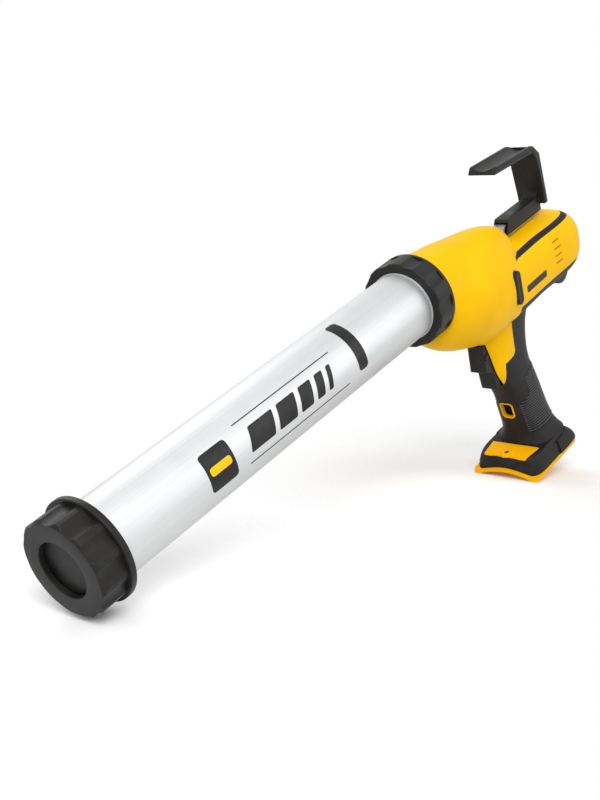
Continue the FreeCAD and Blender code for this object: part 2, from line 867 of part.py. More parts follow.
def drive_pieces():
    """Motor, gearbox and the gear train that moves the rod."""
    lay = drive_layout()
    x, low = float(s.pinion_x), -float(s.motor_axis)
    inside = s.plate_inside
    end = inside + s.plate_thickness
    spur_end = s.spur_start + s.spur_width
    pinion_phase = -math.pi / 2
    to_idler = math.atan2(-lay.height / 2, lay.offset)
    idler_phase = mesh_phase(PINION_TEETH, pinion_phase, IDLER_TEETH, to_idler)
    to_cross = math.atan2(-lay.height / 2, -lay.offset)
    cross_phase = mesh_phase(IDLER_TEETH, idler_phase, PINION_TEETH, to_cross)

    start = -float(s.rod_half_width)
    teeth = feature("pinion_teeth", spur_shape(PINION_TEETH, pinion_phase, x, float(lay.pinion_z), start,
                                               float(spur_end) - start))
    shaft = cylinder("pinion_shaft", "y", s.pinion_shaft_radius, end * 2, (s.pinion_x, -end, lay.pinion_z))
    piece("rack_pinion", fused("pinion_body", teeth, shaft))

    wheel = spur_shape(IDLER_TEETH, idler_phase, lay.idler_x, lay.idler_z, float(s.spur_start),
                       float(s.spur_width))
    bore = Part.makeCylinder(float(s.idler_pin_radius + s.run_gap), float(end),
                             Vector(lay.idler_x, 0, lay.idler_z), Vector(0, 1, 0))
    piece("idler_gear", feature("idler", wheel.cut(bore)))
    pin = Part.makeCylinder(float(s.idler_pin_radius), float(end * 2),
                            Vector(lay.idler_x, -float(end), lay.idler_z), Vector(0, 1, 0))
    piece("idler_pin", feature("idler_pin_body", pin))

    shaft_bore = Part.makeCylinder(float(s.cross_shaft_radius), float(end * 2),
                                   Vector(x, -float(end), low), Vector(0, 1, 0))
    spur = spur_shape(PINION_TEETH, cross_phase, x, low, float(s.spur_start), float(s.spur_width))
    piece("cross_gear", feature("cross_gear_body", spur.cut(shaft_bore)))
    apex = Vector(x, 0, low)
    bevel = bevel_shape(BEVEL_GEAR_TEETH, BEVEL_PINION_TEETH, 0, apex, Vector(0, -1, 0),
                        Vector(1, 0, 0), Vector(0, 0, 1), s.cross_shaft_radius)
    piece("bevel_gear", feature("bevel_gear_body", bevel))
    piece("cross_shaft", cylinder("cross_shaft_body", "y", s.cross_shaft_radius, end * 2,
                                  (s.pinion_x, -end, -s.motor_axis)))

    bevel = bevel_shape(BEVEL_PINION_TEETH, BEVEL_GEAR_TEETH, math.pi / BEVEL_PINION_TEETH, apex,
                        Vector(1, 0, 0), Vector(0, -1, 0), Vector(0, 0, 1), s.output_radius)
    piece("bevel_pinion", feature("bevel_pinion_body", bevel))
    small_end = s.pinion_x + s.gear_module * (BEVEL_GEAR_TEETH / 2) - s.bevel_face
    output_end = s.gearbox_front + s.gearbox_nose
    piece("output_shaft", cylinder("output_stub", "x", s.output_radius, output_end - small_end,
                                   (small_end, 0, -s.motor_axis)))

    plates_and_bushes(lay, end)
    length = s.gearbox_rear - s.gearbox_front
    case = cylinder("gearbox_body", "x", s.gearbox_radius, length, (s.gearbox_front, 0, -s.motor_axis))
    nose_start = s.gearbox_front - s.gearbox_nose / 2
    nose = cylinder("gearbox_nose_ring", "x", s.gearbox_nose_radius, s.gearbox_nose,
                    (nose_start, 0, -s.motor_axis))
    reach = s.gearbox_nose * 2
    hole = cylinder("gearbox_hole", "x", s.output_radius + s.run_gap, reach,
                    (output_end - reach, 0, -s.motor_axis))
    piece("gearbox_case", cut("gearbox_cut", fused("gearbox_blank", case, nose), hole))
    can = cylinder("motor_body", "x", s.motor_radius, s.motor_rear - s.gearbox_rear,
                   (s.gearbox_rear, 0, -s.motor_axis))
    boss = cylinder("motor_tail", "x", s.motor_boss_radius, s.motor_boss, (s.motor_rear, 0, -s.motor_axis))
    piece("motor_can", fused("motor_blank", can, boss))

    block = box("guide_block", (s.guide_front, -s.guide_half_width, -s.guide_bottom),
                (s.guide_front + s.guide_length, s.guide_half_width, s.guide_top))
    slot = rod_slot("guide_slot", s.guide_front - s.overrun, s.guide_front + s.guide_length + s.overrun,
                    s.slide_gap)
    piece("rod_guide", cut("guide_cut", block, slot))


def plates_and_bushes(lay, end):
    """Two steel side plates and the bushes that the shafts turn in."""
    shafts = (
        (s.pinion_x, lay.pinion_z, s.pinion_shaft_radius, True),
        (s.pinion_x, -s.motor_axis, s.cross_shaft_radius, True),
        (as_size(lay.idler_x), as_size(lay.idler_z), s.idler_pin_radius, False),
    )
    bushes = []
    for label, start in (("left_gear_plate", -end), ("right_gear_plate", s.plate_inside)):
        blank = feature(f"{label}_blank", plate_block(start, start + s.plate_thickness, 0))
        tools = []
        for index, (x, z, radius, turning) in enumerate(shafts):
            outside = radius + s.bush_wall if turning else radius
            name = f"{label}_{index}"
            hole = cylinder(f"{name}_hole", "y", outside, s.plate_thickness, (x, start, z))
            tools.append(hole)
            if turning:
                ring = cylinder(f"{name}_ring", "y", outside, s.plate_thickness, (x, start, z))
                inner = cylinder(f"{name}_bore", "y", radius + s.run_gap, s.plate_thickness, (x, start, z))
                bushes.append(cut(f"{name}_bush", ring, inner))
        stem = s.button_stem_radius + s.run_gap
        tools.append(cylinder(f"{label}_stem", "y", stem, s.plate_thickness,
                              (s.button_x, start, -s.button_drop)))
        piece(label, cut(f"{label}_cut", blank, *tools))
    piece("bearing_bushes", fused("bush_set", *bushes))


def plate_block(start, end, gap):
    """Outline of the gear plates with its top rear corner cut off, from one side to the other."""
    gap = float(gap)
    front, rear = float(s.plate_front) - gap, float(s.plate_rear) + gap
    low, high = -float(s.plate_bottom) - gap, float(s.plate_top) + gap
    corners = [(front, low), (rear, low), (rear, high - float(s.plate_corner_z)),
               (rear - float(s.plate_corner_x), high), (front, high)]
    face = flat_face([Vector(x, float(start), z) for x, z in corners])
    return face.extrude(Vector(0, float(end) - float(start), 0))


def rounded_ring(middle, half, power, count):
    """Points around a softly squared egg in local (a, b), with its half sizes across, up and down."""
    across, up, down = half
    points = []
    for index in range(count):
        turn = 2 * math.pi * index / count
        rise = up if math.sin(turn) >= 0 else down
        pair = []
        for value, centre, reach in ((math.cos(turn), middle[0], across), (math.sin(turn), middle[1], rise)):
            pair.append(centre + reach * math.copysign(abs(value) ** (2 / power), value))
        points.append(pair)
    return points


def closed_wire(points):
    curve = Part.BSplineCurve()
    curve.interpolate(Points=points, PeriodicFlag=True)
    return Part.Wire(curve.toShape())


def lofted(rings):
    """Smooth solid through closed splines."""
    return Part.makeLoft([closed_wire(ring) for ring in rings], True, False, False, LOFT_DEGREE)


def hollowed(rings):
    """Plain solid with flat-sided rings, for the room inside a form."""
    return Part.makeLoft([Part.makePolygon(ring + ring[:1]) for ring in rings], True, True)


def case_rings(shares, start, length, sizes, grow, count):
    """Rings of the dome or motor case, grown or shrunk by an even amount."""
    high_size, low_size, side_size = (float(size) for size in sizes)
    rings = []
    last = len(shares) - 1
    for index, (along, top, widest, bottom, half, power) in enumerate(shares):
        x = float(start) + along * float(length)
        x += {0: -grow, last: grow}.get(index, 0)
        high = top * high_size + grow
        low = -bottom * low_size - grow
        side = max(half * side_size + grow, float(s.wall))
        level = -widest * low_size
        ring = rounded_ring((0, level), (side, high - level, level - low), power, count)
        rings.append([Vector(x, y, z) for y, z in ring])
    return rings


def dome_rings(grow, count):
    sizes = (s.dome_height, s.dome_depth, s.dome_half_width)
    return case_rings(DOME_SHARES, s.head_front, s.dome_length, sizes, grow, count)


def motor_rings(grow, count):
    sizes = (-s.motor_case_top, s.motor_case_bottom, s.motor_case_half_width)
    start = s.head_front + s.head_length - s.motor_case_length
    return case_rings(MOTOR_SHARES, start, s.motor_case_length, sizes, grow, count)


@cache
def head_form(grow):
    """Dome and motor case together, grown or shrunk by an even amount."""
    dome = lofted(dome_rings(grow, RING_POINTS))
    return dome.fuse(lofted(motor_rings(grow, RING_POINTS))).removeSplitter()


def oval_rings(levels, count):
    """Level rings given as (z, front, rear, half width, power)."""
    rings = []
    for z, front, rear, side, power in levels:
        ring = rounded_ring(((front + rear) / 2, 0), ((rear - front) / 2, side, side), power, count)
        rings.append([Vector(x, y, z) for x, y in ring])
    return rings


def handle_rings(grow, count):
    levels = []
    for down, front, rear, half in HANDLE_SHARES:
        levels.append((
            -float(s.handle_top) - down * float(s.handle_drop),
            float(s.handle_front) + front * float(s.handle_reach) - grow,
            float(s.handle_front) + rear * float(s.handle_reach) + grow,
            half * float(s.handle_half_width) + grow,
            HANDLE_POWER,
        ))
    return oval_rings(levels, count)


@cache
def handle_form(grow):
    return lofted(handle_rings(grow, RING_POINTS))


@cache
def foot_form(grow):
    levels = []
    for down, front, rear, half, power in FOOT_SHARES:
        levels.append((
            -float(s.foot_top) - down * float(s.foot_height),
            float(s.foot_front) + front * float(s.foot_length) - grow,
            float(s.foot_front) + (1 - rear) * float(s.foot_length) + grow,
            half * float(s.foot_half_width) + grow,
            power,
        ))
    return lofted(oval_rings(levels, RING_POINTS))


def solid_box(low, high):
    low = Vector(*(float(size) for size in low))
    size = Vector(*(float(size) for size in high)) - low
    return Part.makeBox(size.x, size.y, size.z, low)


def rod_along(axis, radius, start, end, across):
    """Plain cylinder along X or Y between two places."""
    start, end = float(start), float(end)
    across = [float(size) for size in across]
    if axis == "x":
        return Part.makeCylinder(float(radius), end - start, Vector(start, *across), Vector(1, 0, 0))
    return Part.makeCylinder(float(radius), end - start, Vector(across[0], start, across[1]), Vector(0, 1, 0))


def screw_places():
    """Places of the screws that hold the two halves together, as (x, z)."""
    places = []
    for along, share in SCREW_SHARES:
        places.append((s.head_front + s.head_length * along, s.dome_depth * share))
    for reach, drop in HANDLE_SCREW_SHARES:
        places.append((s.handle_front + s.handle_reach * reach, -(s.handle_top + s.handle_drop * drop)))
    return places


def kept_inside(bound):
    """Ribs, screw bosses and wheel ears that stay when the casing is hollowed."""
    ribs = []
    for start in (s.rib_gear_front, s.rib_gear_rear, s.rib_guide, s.rib_gearbox, s.rib_motor_front,
                  s.rib_motor_rear):
        ribs.append(Part.makeBox(float(s.rib), bound.YLength, bound.ZLength,
                                 Vector(float(start), bound.YMin, bound.ZMin)))
    radius = s.screw_radius + s.screw_boss_wall
    for x, z in screw_places():
        ribs.append(rod_along("y", radius, bound.YMin, bound.YMax, (x, z)))
    inner = s.dial_half_width + s.dial_slot_gap
    for start in (-(inner + s.dial_ear), inner):
        ribs.append(solid_box(
            (s.dial_x - s.dial_ear_half_length, start, -(s.dial_drop + s.dial_radius)),
            (s.dial_x + s.dial_ear_half_length, start + s.dial_ear, -(s.dial_drop - s.dial_ear_rise))))
    return ribs


def pockets():
    """Seats and passages for the pieces that the casing holds."""
    gap = s.seat_gap
    end = s.plate_inside + s.plate_thickness + gap
    side = s.rod_half_width + s.part_gap * 2
    slot_side = s.trigger_half_width + s.trigger_side_gap
    switch_end = s.switch_front + s.switch_length
    motor = (0, -s.motor_axis)
    hook_side = s.hook_base_half_width + s.part_gap * 2
    tools = [
        plate_block(-end, end, gap),
        rod_along("x", s.gearbox_nose_radius + gap, s.plate_rear, s.gearbox_front, motor),
        rod_along("x", s.gearbox_radius + gap, s.gearbox_front - s.part_gap, s.gearbox_rear, motor),
        rod_along("x", s.motor_radius + gap, s.gearbox_rear - gap, s.motor_rear + gap, motor),
        solid_box((s.guide_front - gap, -(s.guide_half_width + gap), -(s.guide_bottom + gap)),
                  (s.guide_front + s.guide_length + gap, s.guide_half_width + gap, s.guide_top + gap)),
        solid_box((s.head_front, -side, -(s.rod_bottom + s.part_gap * 2)),
                  (s.hook_base_front + s.hook_base_slant, side, s.rod_top + s.part_gap * 2)),
        solid_box((s.hook_base_front - s.part_gap * 2, -hook_side, -(s.hook_base_bottom + s.part_gap * 2)),
                  (s.head_front + s.dome_length + s.overrun, hook_side, s.dome_height)),
        rod_along("x", s.neck_radius + gap, s.head_front - s.overrun,
                  s.head_front + s.front_wall + s.overrun, (0, 0)),
        mount_seat(),
        rod_along("y", s.button_stem_radius + s.part_gap, -s.dome_half_width, -s.plate_inside,
                  (s.button_x, -s.button_drop)),
        solid_box((s.trigger_lip - s.overrun * 2, -slot_side,
                   -(s.trigger_top + s.trigger_height + s.trigger_side_gap)),
                  (s.trigger_rear + s.trigger_travel + s.part_gap, slot_side,
                   -(s.trigger_top - s.part_gap * 2))),
        solid_box((s.switch_front - gap, -(s.switch_half_width + gap),
                   -(s.switch_top + s.switch_height + gap)),
                  (switch_end + gap, s.switch_half_width + gap, -(s.switch_top - gap))),
    ]
    base = -(s.foot_top + s.foot_height)
    tools.append(solid_box(
        (s.board_front - gap, -(s.board_half_width + gap), base - s.overrun),
        (s.board_front + s.board_length + gap, s.board_half_width + gap,
         base + s.board_gap + s.board_thickness + gap)))
    dial_side = s.dial_half_width + s.dial_slot_gap
    tools.append(rod_along("y", s.dial_radius + s.dial_slot_gap, -dial_side, dial_side,
                           (s.dial_x, -s.dial_drop)))
    pin_side = dial_side + s.dial_ear - s.part_gap
    tools.append(rod_along("y", s.dial_pin_radius + s.run_gap, -pin_side, pin_side, (s.dial_x, -s.dial_drop)))
    spur_side = s.spur_start + s.spur_width + gap
    tip = s.gear_module * (PINION_TEETH / 2 + ADDENDUM_SHARE)
    tools.append(rod_along("y", tip + gap * 2, -spur_side, spur_side, (s.pinion_x, drive_layout().pinion_z)))
    for index in range(VENTS):
        top = -(s.vent_top + s.vent_pitch * index)
        tools.append(solid_box((s.vent_front, -s.dome_half_width, top - s.vent_height),
                               (s.vent_front + s.vent_length, -(s.motor_radius + s.wall), top)))
    tools.append(arch_rod(s.rail_band + gap, s.foot_front - s.overrun, gap))
    tools += window_cuts()
    tools.append(foot_plate_shape(s.foot_plate_thickness * 2, s.seat_gap))
    return tools


def mount_seat():
    """Room for the mount's flange behind the front wall."""
    start = float(s.head_front + s.front_wall)
    depth = float(s.mount_flange_depth + s.seat_gap * 2)
    radius = float(s.mount_flange_radius + s.seat_gap)
    disc = rod_along("x", radius, start, start + depth, (0, 0))
    below = Part.makeBox(depth, 2 * radius, radius + float(s.mount_flange_top + s.seat_gap),
                         Vector(start, -radius, -radius))
    core = rod_along("x", s.neck_radius + s.seat_gap, start, start + depth, (0, 0))
    return disc.common(below).fuse(core)


def screw_span(outer, x, z):
    """Where a screw's axis leaves the body's outer form on its right side."""
    bound = outer.BoundBox
    line = Part.makeLine(Vector(float(x), 0, float(z)), Vector(float(x), bound.YMax, float(z)))
    return outer.common(line).BoundBox.YMax


def screw_cuts(outer):
    """Blind holes in the left half, and passages with sunk heads in the right one."""
    threads, passages = [], []
    for x, z in screw_places():
        edge = screw_span(outer, x, z)
        seat = edge - float(s.screw_sink)
        threads.append(rod_along("y", s.screw_radius, -s.screw_left_bite, 0, (x, z)))
        passages.append(rod_along("y", s.screw_radius, 0, seat, (x, z)))
        passages.append(rod_along("y", s.screw_head_radius + s.seat_gap, seat, edge + float(s.overrun),
                                  (x, z)))
    return threads, passages


def pill(width, height, start, depth):
    """Tall round-ended prism along Y at the release button."""
    radius = float(width) / 2
    x, z = float(s.button_x), -float(s.button_drop)
    reach = float(height) / 2 - radius
    shape = Part.makeBox(2 * radius, float(depth), 2 * reach, Vector(x - radius, float(start), z - reach))
    for offset in (-reach, reach):
        end = Part.makeCylinder(radius, float(depth), Vector(x, float(start), z + offset), Vector(0, 1, 0))
        shape = shape.fuse(end)
    return shape.removeSplitter()


def stripe_band():
    """Long inlay along the left shoulder of the motor housing, following its surface."""
    half = s.stripe_height / 2
    middle = -s.stripe_drop
    side = -(s.dome_half_width + s.overrun)
    band = solid_box((s.stripe_front, side, middle - half), (s.panel_rear, 0, middle + half))
    return band.common(head_form(0.0)).cut(head_form(-float(s.stripe_depth)))


def window_prism(grow):
    half = s.window_half_width + grow
    prism = solid_box((s.window_front, -half, -(s.window_top + s.window_height + grow)),
                      (s.window_front + s.window_reach, half, -(s.window_top - grow)))
    long_edges = [edge for edge in prism.Edges if edge.BoundBox.XLength > float(s.window_reach) / 2]
    return prism.makeFillet(float(s.window_round + grow), long_edges)


def window_cuts():
    """Recess of the framed window in the handle's front."""
    recess = window_prism(s.window_frame + s.slide_gap).cut(handle_form(-float(s.window_depth)))
    return [recess]


def foot_plate_shape(thickness, gap):
    """Tapered inset plate on the foot's front ledge."""
    gap = float(gap)
    front = float(s.foot_front + s.foot_plate_inset) - gap
    rear = front + float(s.foot_plate_length) + 2 * gap
    z = -float(s.foot_top + s.foot_plate_recess)
    near, far = float(s.foot_plate_front_half) + gap, float(s.foot_plate_rear_half) + gap
    corners = [Vector(front, -near, z), Vector(rear, -far, z), Vector(rear, far, z), Vector(front, near, z)]
    return flat_face(corners).extrude(Vector(0, 0, float(thickness)))


def yellow_region(bound):
    """Side outline of the yellow moulding, through the full width."""
    corners = [
        (bound.XMin, bound.ZMax),
        (float(s.panel_rear), bound.ZMax),
        (float(s.panel_rear), -float(s.panel_bottom)),
    ]
    for reach, drop in WING_SHARES:
        x = float(s.handle_front) + reach * float(s.handle_reach)
        z = -float(s.handle_top) - drop * float(s.handle_drop)
        corners.append((x, max(z, -float(s.panel_bottom)) if drop == 0 else z))
    corners.append((bound.XMin, corners[-1][1]))
    face = flat_face([Vector(x, bound.YMin, z) for x, z in corners])
    return face.extrude(Vector(0, bound.YLength, 0))


def grown_bound(shape):
    bound = shape.BoundBox
    bound.enlarge(float(s.overrun))
    return bound


def half_space(bound):
    """Everything left of the middle plane."""
    return Part.makeBox(bound.XLength, -bound.YMin, bound.ZLength, Vector(bound.XMin, bound.YMin, bound.ZMin))


def casing_pieces():
    """Hollow body, split into yellow housing halves and black grip halves."""
    outer = head_form(0.0).fuse([handle_form(0.0), foot_form(0.0)]).removeSplitter()
    bound = grown_bound(outer)
    left = half_space(bound)
    head_room, handle_room = (room.common(left) for room in rooms(bound))
    half = outer.common(left).cut([head_room, handle_room]).cut(pockets())
    yellow = yellow_region(bound)
    stripe = stripe_band()
    button_hole = button_room()
    shell = half.common(yellow).cut(stripe)
    grip = half.cut(yellow)
    threads, passages = screw_cuts(outer)
    piece("left_housing", feature("left_shell", largest(shell.cut([button_hole] + threads))))
    piece("right_housing", feature("right_shell", largest(mirrored(shell).cut(passages))))
    piece("left_grip", feature("left_grip_shell", largest(grip.cut(threads))))
    piece("right_grip", feature("right_grip_shell", largest(mirrored(grip).cut(passages))))
    piece("left_stripe", feature("left_band", stripe))
    piece("right_stripe", feature("right_band", mirrored(stripe)))
    screw_set(outer)


def button_room():
    """Hole for the release button and the room behind it for its lip."""
    gap = s.button_gap * 2
    start = -(s.dome_half_width + s.overrun)
    lip_start = -(s.dome_half_width - s.button_lip_inset + s.part_gap)
    hole = pill(s.button_width + gap, s.button_height + gap, start, lip_start - start)
    room = pill(s.button_width + s.button_lip * 2 + gap, s.button_height + s.button_lip * 2 + gap,
                lip_start, -lip_start - s.plate_inside - s.plate_thickness)
    return hole.fuse(room)


def rooms(bound):
    """Hollows of the head and of the handle, with the ribs left standing."""
    ribs = kept_inside(bound)
    thin = -float(s.wall)
    front = solid_box((s.head_front, -s.dome_half_width, -s.dome_depth),
                      (s.head_front + s.front_wall, s.dome_half_width, s.dome_height))
    levels = []
    for start in (s.rib_switch_top, s.rib_switch_low):
        levels.append(Part.makeBox(bound.XLength, bound.YLength, float(s.rib),
                                   Vector(bound.XMin, bound.YMin, -float(start))))
    floor = Part.makeBox(bound.XLength, bound.YLength, float(s.foot_height),
                         Vector(bound.XMin, bound.YMin, -float(s.foot_top) - float(s.wall)))
    head = hollowed(dome_rings(thin, ROOM_POINTS)).fuse(hollowed(motor_rings(thin, ROOM_POINTS)))
    handle = hollowed(handle_rings(thin, ROOM_POINTS))
    return head.cut(ribs + [front]), handle.cut(ribs + levels + [floor])


def mirrored(shape):
    """The same shape on the tool's other side."""
    return shape.mirror(Vector(0, 0, 0), Vector(0, 1, 0))


def largest(shape):
    """Biggest solid of a cut, without crumbs."""
    return max(shape.Solids, key=lambda solid: solid.Volume)


def screw_set(outer):
    """Screws from the right side, with sunk heads."""
    screws = []
    for index, (x, z) in enumerate(screw_places()):
        seat = screw_span(outer, x, z) - float(s.screw_sink)
        shank = rod_along("y", s.screw_radius, -s.screw_left_bite, seat, (x, z))
        head = rod_along("y", s.screw_head_radius, seat, seat + float(s.screw_head_depth), (x, z))
        screws.append(feature(f"screw_{index}", shank.fuse(head).removeSplitter()))
    piece("housing_screws", fused("screw_set", *screws))


def control_pieces():
    """Trigger, cross button, rod release button and speed wheel."""
    top = -s.trigger_top
    body = doc.addObject("PartDesign::Body", "trigger_body")
    pad(body, "trigger_pad", (
        (s.trigger_front, top),
        (s.trigger_lip, top - s.trigger_lip_drop),
        (s.trigger_groove, top - s.trigger_groove_drop),
        (s.trigger_low_front, top - s.trigger_low_drop),
        (s.trigger_foot, top - s.trigger_height),
        (s.trigger_rear, top - s.trigger_height),
        (s.trigger_rear, top),
    ), s.trigger_half_width * 2)
    faces = (float(s.trigger_front + s.trigger_lip) / 2, float(s.trigger_low_front + s.trigger_foot) / 2)
    side = float(s.trigger_half_width) - float(s.part_gap)
    round_edges(body, "trigger_rounds", s.trigger_round, lambda edge: abs(edge.CenterOfMass.y) > side
                and any(abs(edge.CenterOfMass.x - x) < float(s.part_gap) for x in faces))
    z = top - s.lock_drop
    reach = s.trigger_half_width * 2
    hole = cylinder("lock_hole", "y", s.lock_radius + s.run_gap, reach + s.overrun * 2,
                    (s.lock_x, -(s.trigger_half_width + s.overrun), z))
    socket = cylinder("plunger_socket", "x", s.plunger_radius, s.plunger_bite + s.overrun,
                      (s.trigger_rear - s.plunger_bite, 0, -(s.switch_top + s.switch_height / 2)))
    piece("trigger", cut("trigger_cut", body, hole, socket))
    piece("lock_button", cylinder("lock_bolt", "y", s.lock_radius, reach,
                                  (s.lock_x, -(s.trigger_half_width + s.lock_proud), z)))

    inner = -(s.dome_half_width - s.button_depth)
    skin = pill(s.button_width, s.button_height, -s.dome_half_width - s.overrun, s.button_depth + s.overrun)
    skin = skin.common(head_form(float(s.button_proud)))
    lip_start = -(s.dome_half_width - s.button_lip_inset)
    lip = pill(s.button_width + s.button_lip * 2, s.button_height + s.button_lip * 2, lip_start,
               s.button_lip_depth)
    neck_start = inner - s.overrun
    neck = pill(s.button_width, s.button_height, neck_start, lip_start - neck_start)
    stem = rod_along("y", s.button_stem_radius, inner, -(s.plate_inside + s.button_stem_bite),
                     (s.button_x, -s.button_drop))
    piece("release_button", feature("button_body", largest(skin.fuse([lip, neck, stem]))))

    wheel = cylinder("dial_wheel", "y", s.dial_radius, s.dial_half_width * 2,
                     (s.dial_x, -s.dial_half_width, -s.dial_drop))
    pin_side = s.dial_half_width + s.dial_slot_gap + s.dial_ear / 2
    pin = cylinder("dial_pin", "y", s.dial_pin_radius, pin_side * 2, (s.dial_x, -pin_side, -s.dial_drop))
    piece("speed_dial", fused("dial_body", wheel, pin))


def electrical_pieces():
    """Switch module, control board, terminal block and contact blades."""
    z = -s.switch_top
    case = box("switch_case", (s.switch_front, -s.switch_half_width, z - s.switch_height),
               (s.switch_front + s.switch_length, s.switch_half_width, z))
    middle = z - s.switch_height / 2
    end = s.switch_front + s.plunger_length
    start = s.trigger_rear - s.plunger_bite
    bore = cylinder("switch_bore", "x", s.plunger_radius + s.run_gap,
                    s.plunger_length + s.trigger_travel + s.part_gap * 2, (s.switch_front, 0, middle))
    piece("switch_module", cut("switch_body", case, bore))
    piece("switch_plunger", cylinder("plunger_pin", "x", s.plunger_radius, end - start, (start, 0, middle)))

    base = -(s.foot_top + s.foot_height)
    low = base + s.board_gap
    piece("control_board", box("board", (s.board_front, -s.board_half_width, low),
                               (s.board_front + s.board_length, s.board_half_width, low + s.board_thickness)))

    bottom = base - s.rail_height + s.terminal_floor
    block = box("terminal_body", (s.terminal_front, -s.terminal_half_width, bottom),
                (s.terminal_front + s.terminal_length, s.terminal_half_width, low))
    slots, blades = [], []
    span = s.blade_pitch * (BLADES - 1) / 2
    for index in range(BLADES):
        y = s.blade_pitch * index - span - s.blade_thickness / 2
        low_z = bottom + s.terminal_floor
        ends = (s.terminal_front - s.blade_length / 2, s.terminal_front + s.blade_length / 2)
        rows = ((y, low_z), (y + s.blade_thickness, low_z + s.blade_height))
        for kind, keep in (("slot", slots), ("blade", blades)):
            keep.append(box(f"{kind}_{index}", (ends[0], *rows[0]), (ends[1], *rows[1])))
    piece("terminal_block", cut("terminal_cut", block, *slots))
    piece("contact_blades", fused("blade_set", *blades))


def arch_rod(grow, start, past):
    """Round bar whose top is the battery channel's arch, grown for the band that lines it."""
    rise, half = float(s.rail_arch), float(s.rail_arch_half_width)
    radius = (half ** 2 + rise ** 2) / (2 * rise)
    middle = rise - radius - float(s.foot_top + s.foot_height + s.rail_height)
    stop = s.foot_front + s.foot_length - s.rail_stop + past
    return rod_along("x", radius + float(grow), start, stop, (0, middle))


def foot_pieces():
    """Battery rail, inset plate, side bumpers and the window's frame."""
    base = -float(s.foot_top + s.foot_height)
    slab = solid_box((s.foot_front - s.rail_reach, -s.rail_half_width, base - float(s.rail_height)),
                     (s.foot_front + s.foot_length - s.rail_rear_inset, s.rail_half_width, base))
    upright = [edge for edge in slab.Edges if edge.BoundBox.ZLength > float(s.rail_height) / 2]
    rail = slab.makeFillet(float(s.rail_corner), upright)
    start = s.foot_front - s.rail_reach
    front = solid_box((start, -s.rail_half_width, base - float(s.rail_height)),
                      (s.foot_front + s.foot_length, s.rail_half_width, -s.foot_top))
    band = arch_rod(s.rail_band, start, 0).common(front)
    gap = s.seat_gap
    window = solid_box((s.terminal_front - gap, -(s.terminal_half_width + gap), base - float(s.rail_height)),
                       (s.terminal_front + s.terminal_length + gap, s.terminal_half_width + gap,
                        base + float(s.foot_height) / 2))
    arch = arch_rod(as_size(0), start - s.overrun, 0)
    rail = rail.fuse(band).removeSplitter().cut([arch, window])
    piece("battery_rail", feature("rail_body", rail))

    plate = foot_plate_shape(s.foot_plate_thickness, 0)
    top = -float(s.foot_top + s.foot_plate_recess) + float(s.foot_plate_thickness)
    centre = Vector(float(s.foot_boss_x), 0, top)
    boss = Part.makeCylinder(float(s.foot_boss_radius), float(s.foot_boss_height), centre)
    depth = float(s.foot_plate_thickness + s.foot_boss_height)
    below = centre - Vector(0, 0, float(s.foot_plate_thickness))
    hole = Part.makeCylinder(float(s.foot_hole_radius), depth, below)
    piece("foot_plate", feature("foot_plate_body", plate.fuse(boss).removeSplitter().cut(hole)))

    outside, inside = foot_form(float(s.bumper_proud)), foot_form(0.0)
    high = -s.bumper_top
    block = solid_box((s.bumper_front, -(s.foot_half_width + s.overrun * 2), high - s.bumper_height),
                      (s.bumper_front + s.bumper_length, 0, high))
    bumper = largest(outside.common(block).cut(inside))
    piece("left_bumper", feature("left_pad", bumper))
    piece("right_bumper", feature("right_pad", mirrored(bumper)))

    ring = window_prism(s.window_frame).cut(window_prism(as_size(0)))
    frame = ring.common(handle_form(float(s.window_proud))).cut(handle_form(-float(s.window_depth)))
    piece("window_frame", feature("window_ring", largest(frame)))


def check_and_write():
    """Stops on any failed feature or bad solid, then writes one file for each sub-part."""
    doc.recompute()
    for item in doc.Objects:
        if {"Invalid", "Error"} & set(item.State):
            raise RuntimeError(f"{item.Label} failed: {item.State}")
    for label, item in pieces.items():
        shape = item.Shape
        if shape.isNull() or not shape.isValid() or not shape.Solids:
            raise RuntimeError(f"{label} has no valid solid")
    os.makedirs("parts", exist_ok=True)
    for label, item in pieces.items():
        item.Shape.exportStep(f"parts/{label}.step")


barrel_pieces()
plunger_pieces()
drive_pieces()
casing_pieces()
control_pieces()
electrical_pieces()
foot_pieces()
check_and_write()
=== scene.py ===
"""Studio scene of the cordless caulking tool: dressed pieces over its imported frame.

Lengths are metres in the part's own frame, and values given in millimetres say so.
+X runs from the nozzle hole back to the pull hook, +Y to the tool's right and +Z up.
"""

import json
import math

import bmesh
import bpy
from mathutils import Matrix, Vector
from mathutils.bvhtree import BVHTree


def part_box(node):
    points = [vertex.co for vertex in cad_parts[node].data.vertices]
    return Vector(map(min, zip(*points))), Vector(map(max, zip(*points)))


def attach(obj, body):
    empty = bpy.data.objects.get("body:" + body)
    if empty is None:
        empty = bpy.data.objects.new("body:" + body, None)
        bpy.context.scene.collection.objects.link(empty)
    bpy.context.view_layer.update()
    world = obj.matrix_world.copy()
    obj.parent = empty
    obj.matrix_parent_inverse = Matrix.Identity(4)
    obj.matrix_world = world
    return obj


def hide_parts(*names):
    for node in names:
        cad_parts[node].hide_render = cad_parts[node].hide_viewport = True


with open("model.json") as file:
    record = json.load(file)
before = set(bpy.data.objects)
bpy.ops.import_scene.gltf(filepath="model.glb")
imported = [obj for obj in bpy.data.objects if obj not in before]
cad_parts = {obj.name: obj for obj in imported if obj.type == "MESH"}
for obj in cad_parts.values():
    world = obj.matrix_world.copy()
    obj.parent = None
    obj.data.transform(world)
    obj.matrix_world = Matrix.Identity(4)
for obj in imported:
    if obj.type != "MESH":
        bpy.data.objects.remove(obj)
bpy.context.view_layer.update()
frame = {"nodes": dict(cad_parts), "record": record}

MM = 0.001
NODES = frame["nodes"]
SLOTS = {part["node"]: part["material_slot"] for part in frame["record"]["subparts"]}
